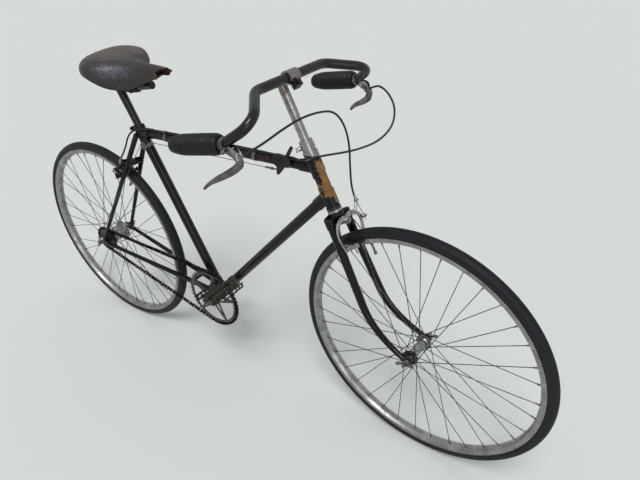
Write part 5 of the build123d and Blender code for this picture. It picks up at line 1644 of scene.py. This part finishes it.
def rear_brake() -> Brake:
    """Lay out the rear brake, bolted to the stay bridge.

    Returns:
        The brake, ready to build.
    """
    behind = 13.0
    to_seat = STAY_BACK * behind + STAY_UP * math.sqrt(RIM_SEAT**2 - behind**2)
    return Brake(
        name="rear",
        body="frame",
        pivot=BRIDGE,
        up=STAY_UP,
        out=STAY_BACK,
        base=8.3,
        stub=3.0,
        arms=((0, REAR_PULLED), (0, REAR_STUB), (1, REAR_HELD)),
        seat=REAR_AXLE + to_seat,
        tangent=SIDEWAYS.cross(to_seat.normalized()),
        lead=-12.5,
        stop=(on_bridge(16, 14, -44), on_bridge(30, 16, -42)),
        clamp=(on_bridge(-22, 9, -56), on_bridge(-22, 26, -56)),
        finish=DARK_CALIPER,
    )


@dataclass
class Cable:
    """Brake cable in its casing, laid through the route's points."""

    name: str
    route: list[Vector]
    body: str
    node: str
    length: float
    far_body: str = ""
    diameter: float = 5.0

    def curve(self, radius: float) -> bpy.types.Object:
        """Draw the route as one smooth spline.

        Args:
            radius: Radius of the casing, or 0 for the bare line.

        Returns:
            The curve's object, not yet in the scene.
        """
        data = bpy.data.curves.new(self.name if radius else "bare_line", "CURVE")
        data.dimensions = "3D"
        spline = data.splines.new("NURBS")
        spline.points.add(len(self.route) - 1)
        for slot, place in zip(spline.points, self.route):
            slot.co = (*at_rest(place, self.body), 1.0)
        spline.order_u = 3
        spline.use_endpoint_u = True
        spline.resolution_u = 8
        data.bevel_depth = radius * MM
        data.bevel_resolution = 4
        data.use_fill_caps = radius > 0
        return bpy.data.objects.new(data.name, data)

    def build(self) -> None:
        piece = self.curve(self.diameter / 2)
        path = None
        if self.far_body:
            bare, tube = self.curve(0.0), piece
            path = [tuple(vertex.co) for vertex in bpy.data.meshes.new_from_object(bare).vertices]
            mesh = bpy.data.meshes.new_from_object(tube)
            for spare in (bare, tube):
                bpy.data.curves.remove(spare.data)
            piece = bpy.data.objects.new(self.name, mesh)
            piece.data.shade_smooth()
        piece.data.materials.clear()
        piece.data.materials.append(CABLE_CASING.material())
        bpy.context.collection.objects.link(piece)
        if self.far_body:
            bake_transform(piece)
        else:
            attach(piece, self.body)
        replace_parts(piece, self.node)
        LOG.info("laid %s, %.0f mm long", self.name, self.length)


@dataclass
class Cables:
    """Both brake cables, the rear one in its two parts, and the clip where they cross."""

    # Forward, left and up from the head tube's foot
    front_spots: tuple[Spot, ...] = (
        (45, -222, 205), (58, -176, 208), (74, -124, 218), (85, -68, 223), (88, -12, 217),
        (81, 38, 203), (68, 68, 168), (52, 79, 120), (37, 66, 66), (26, 54, 16), (26, 54, -2),
    )
    loop_spots: tuple[Spot, ...] = (
        (46, 228, 208), (68, 231, 210), (88, 226, 200), (108, 215, 177), (124, 194, 146),
        (121, 163, 112), (96, 124, 95), (60, 88, 97), (42, 50, 107), (34, 17, 117), (26, -5, 123),
        (14, -21, 128), (-2, -27.5, 131),
    )
    # Where the rear cable's two parts meet, from the top tube's front end
    joint: Spot = (-31, -24.6, 23.4)
    near_joint: tuple[Spot, ...] = ((-44, -18.5, 21.5), (-59, -10.5, 18.8))
    # Along the top tube, and how many degrees the casing leans to its right side
    leans: tuple[tuple[float, float], ...] = (
        (91, 23), (152, 18), (216, 14.5), (280, 12.5), (346, 12), (412, 13), (478, 16), (540, 22),
    )
    tube_reach: float = 17.7
    round_lug: tuple[Spot, ...] = ((38, -12, 18.4), (2.6, -20, 14.4), (-30, -27, -4))
    # Up the seat stays, behind them and left of their bridge
    to_brake: tuple[Spot, ...] = ((68, 12, -36), (31, 16, -41.8))

    def front(self) -> None:
        """Lead the front cable from the right lever round the head to the front brake."""
        route = [on_head(up, forward, left) for forward, left, up in self.front_spots]
        Cable("front_cable", route, "steering", "front_brake_cable", 493.0).build()

    def front_run(self) -> None:
        """Lead the rear cable from the left lever across the head to the top tube."""
        route = [on_head(up, forward, left) for forward, left, up in self.loop_spots]
        end = TOP_JOINT + Vector(self.joint) - HEAD_FOOT
        route.append(Matrix.Rotation(-STEERING_REST, 3, HEAD_UP) @ end + HEAD_FOOT)
        Cable("rear_cable_front_run", route, "steering", "rear_cable_loop", 408.0, "frame").build()

    def long_run(self) -> None:
        """Lead the rear cable along the top tube and round the seat lug to the rear brake."""
        route = [TOP_JOINT + Vector(offset) for offset in (self.joint, *self.near_joint)]
        back = (SEAT_JOINT - TOP_JOINT).normalized()
        up = back.cross(-SIDEWAYS)
        for along, lean in self.leans:
            turn = math.radians(lean)
            offset = (up * math.cos(turn) - SIDEWAYS * math.sin(turn)) * self.tube_reach
            route.append(TOP_JOINT + back * along + offset)
        route += [SEAT_JOINT + Vector(offset) for offset in self.round_lug]
        route += [on_bridge(*spot) for spot in self.to_brake]
        Cable("rear_cable_long_run", route, "frame", "rear_brake_cable", 720.0).build()

    def clip(self) -> None:
        """Hold the two casings together where they cross, by two rings and a bar."""
        shape = Shape("cable_crossing_clip", "steering", "lever_steel")
        front, rear = on_head(101, 46.8, 74.2), on_head(102, 51, 69)
        shape.rod(front, rear, 1.3, steps=10)
        ring = [(2.7, -2.5), (3.6, -2.2), (3.6, 2.2), (2.7, 2.5)]
        shape.lathe(ring, front, on_head(120, 52, 79) - on_head(66, 37, 66), 14, loop=True)
        shape.lathe(ring, rear, on_head(95, 96, 124) - on_head(107, 42, 50), 14, loop=True)
        shape.make(SADDLE_STEEL)

    def build(self) -> None:
        """Lay the cables and clip them."""
        self.front()
        self.front_run()
        self.long_run()
        self.clip()


@dataclass
class Studio:
    """Pale floor, soft light and the camera at the photograph's angle."""

    eye: tuple[float, float, float] = (1577.3, -937.4, 1279.1)
    yaw: float = 126.0135
    pitch: float = -31.3262
    roll: float = 3.828
    sensor_width: float = 36.0
    focal_share: float = 537.68 / 640
    floor_half: float = 30.0
    floor_colour: str = "d2d5d0"
    backdrop_colour: str = "d6dad8"
    sky_colour: str = "f0f3f8"

    def camera(self) -> None:
        """Stand the camera where the photograph was taken from."""
        yaw, pitch, roll = (math.radians(angle) for angle in (self.yaw, self.pitch, self.roll))
        level_share = math.cos(pitch)
        ahead = Vector((level_share * math.cos(yaw), level_share * math.sin(yaw), math.sin(pitch)))
        level = ahead.cross(Vector((0, 0, 1))).normalized()
        upright = level.cross(ahead)
        across = level * math.cos(roll) - upright * math.sin(roll)
        upward = upright * math.cos(roll) + level * math.sin(roll)
        data = bpy.data.cameras.new("camera")
        data.sensor_fit = "HORIZONTAL"
        data.sensor_width = self.sensor_width
        data.lens = self.focal_share * self.sensor_width
        data.clip_start = 0.05
        camera = bpy.data.objects.new("camera", data)
        bpy.context.collection.objects.link(camera)
        place = at_rest(Vector(self.eye), "frame")
        turn = Matrix((across, upward, -ahead)).transposed().to_4x4()
        camera.matrix_world = Matrix.Translation(place) @ turn
        bpy.context.scene.camera = camera

    def floor(self) -> None:
        """Lay the floor under the tyres."""
        half = self.floor_half
        low = CAD_BOX[0][2]
        mesh = bpy.data.meshes.new("floor")
        corners = [(-half, -half, low), (half, -half, low), (half, half, low), (-half, half, low)]
        mesh.from_pydata(corners, [], [(0, 1, 2, 3)])
        floor = bpy.data.objects.new("floor", mesh)
        bpy.context.collection.objects.link(floor)
        made = bpy.data.materials.new("floor_paper")
        made.use_nodes = True
        shader = made.node_tree.nodes["Principled BSDF"]
        shader.inputs["Base Color"].default_value = linear(self.floor_colour)
        shader.inputs["Roughness"].default_value = 0.9
        mesh.materials.append(made)

    def sky(self) -> None:
        """Make a bright overcast sky, paler overhead, with the backdrop's colour where it shows."""
        world = bpy.data.worlds.new("sky")
        bpy.context.scene.world = world
        world.use_nodes = True
        tree = world.node_tree
        tree.nodes.clear()
        ray = add_node(tree, "ShaderNodeTexCoord").outputs["Generated"]
        height = add_node(tree, "ShaderNodeSeparateXYZ", {"Vector": ray}).outputs["Z"]
        level = add_node(
            tree,
            "ShaderNodeMapRange",
            {"Value": height, "From Min": 0.0, "From Max": 0.9, "To Min": 0.3, "To Max": 0.72},
        ).outputs["Result"]
        settings = {"Color": linear(self.sky_colour), "Strength": level}
        light = add_node(tree, "ShaderNodeBackground", settings).outputs[0]
        settings = {"Color": linear(self.backdrop_colour)}
        paper = add_node(tree, "ShaderNodeBackground", settings).outputs[0]
        path = add_node(tree, "ShaderNodeLightPath").outputs
        seen = path["Is Camera Ray"]
        for kind in ("Is Glossy Ray", "Is Transmission Ray"):
            rays = {0: seen, 1: path[kind]}
            seen = add_node(tree, "ShaderNodeMath", rays, operation="MAXIMUM").outputs[0]
        shown = add_node(tree, "ShaderNodeMixShader", {0: seen, 1: light, 2: paper}).outputs[0]
        add_node(tree, "ShaderNodeOutputWorld", {"Surface": shown})

    def light(self) -> None:
        """Add the soft light of the brightest part of the sky."""
        for name, way, power, angle in (
            ("sky_light", (-0.25, 0.5, -1.0), 1.7, 24.0),
            ("side_light", (-0.9, 0.7, -0.35), 0.35, 30.0),
        ):
            data = bpy.data.lights.new(name, "SUN")
            data.energy = power
            data.angle = math.radians(angle)
            lamp = bpy.data.objects.new(name, data)
            bpy.context.collection.objects.link(lamp)
            lamp.rotation_euler = Vector(way).to_track_quat("-Z", "Y").to_euler()

    def build(self) -> None:
        """Set the view, the floor and the light."""
        self.camera()
        self.floor()
        self.sky()
        self.light()
        bpy.context.scene.view_settings.view_transform = "Standard"


def main() -> None:
    """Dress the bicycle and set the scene."""
    logging.basicConfig(level=logging.INFO, format="%(message)s")
    Studio().build()
    dress_nodes()
    Wheel("front", FRONT_AXLE, flange=20.0, spread=33.0, valve_turn=115.0).build()
    Wheel("rear", REAR_AXLE, flange=34.0, spread=27.0, valve_turn=55.0).build()
    Chain().build()
    Saddle().build()
    Grips().build()
    Lever(-1, on_head(205, 45, -222), on_head(208, 58, -176)).build()
    Lever(1, on_head(208, 46, 228), on_head(210, 68, 231)).build()
    Quadrant().build()
    front_brake().build()
    rear_brake().build()
    Cables().build()


if __name__ == "__main__":
    main()
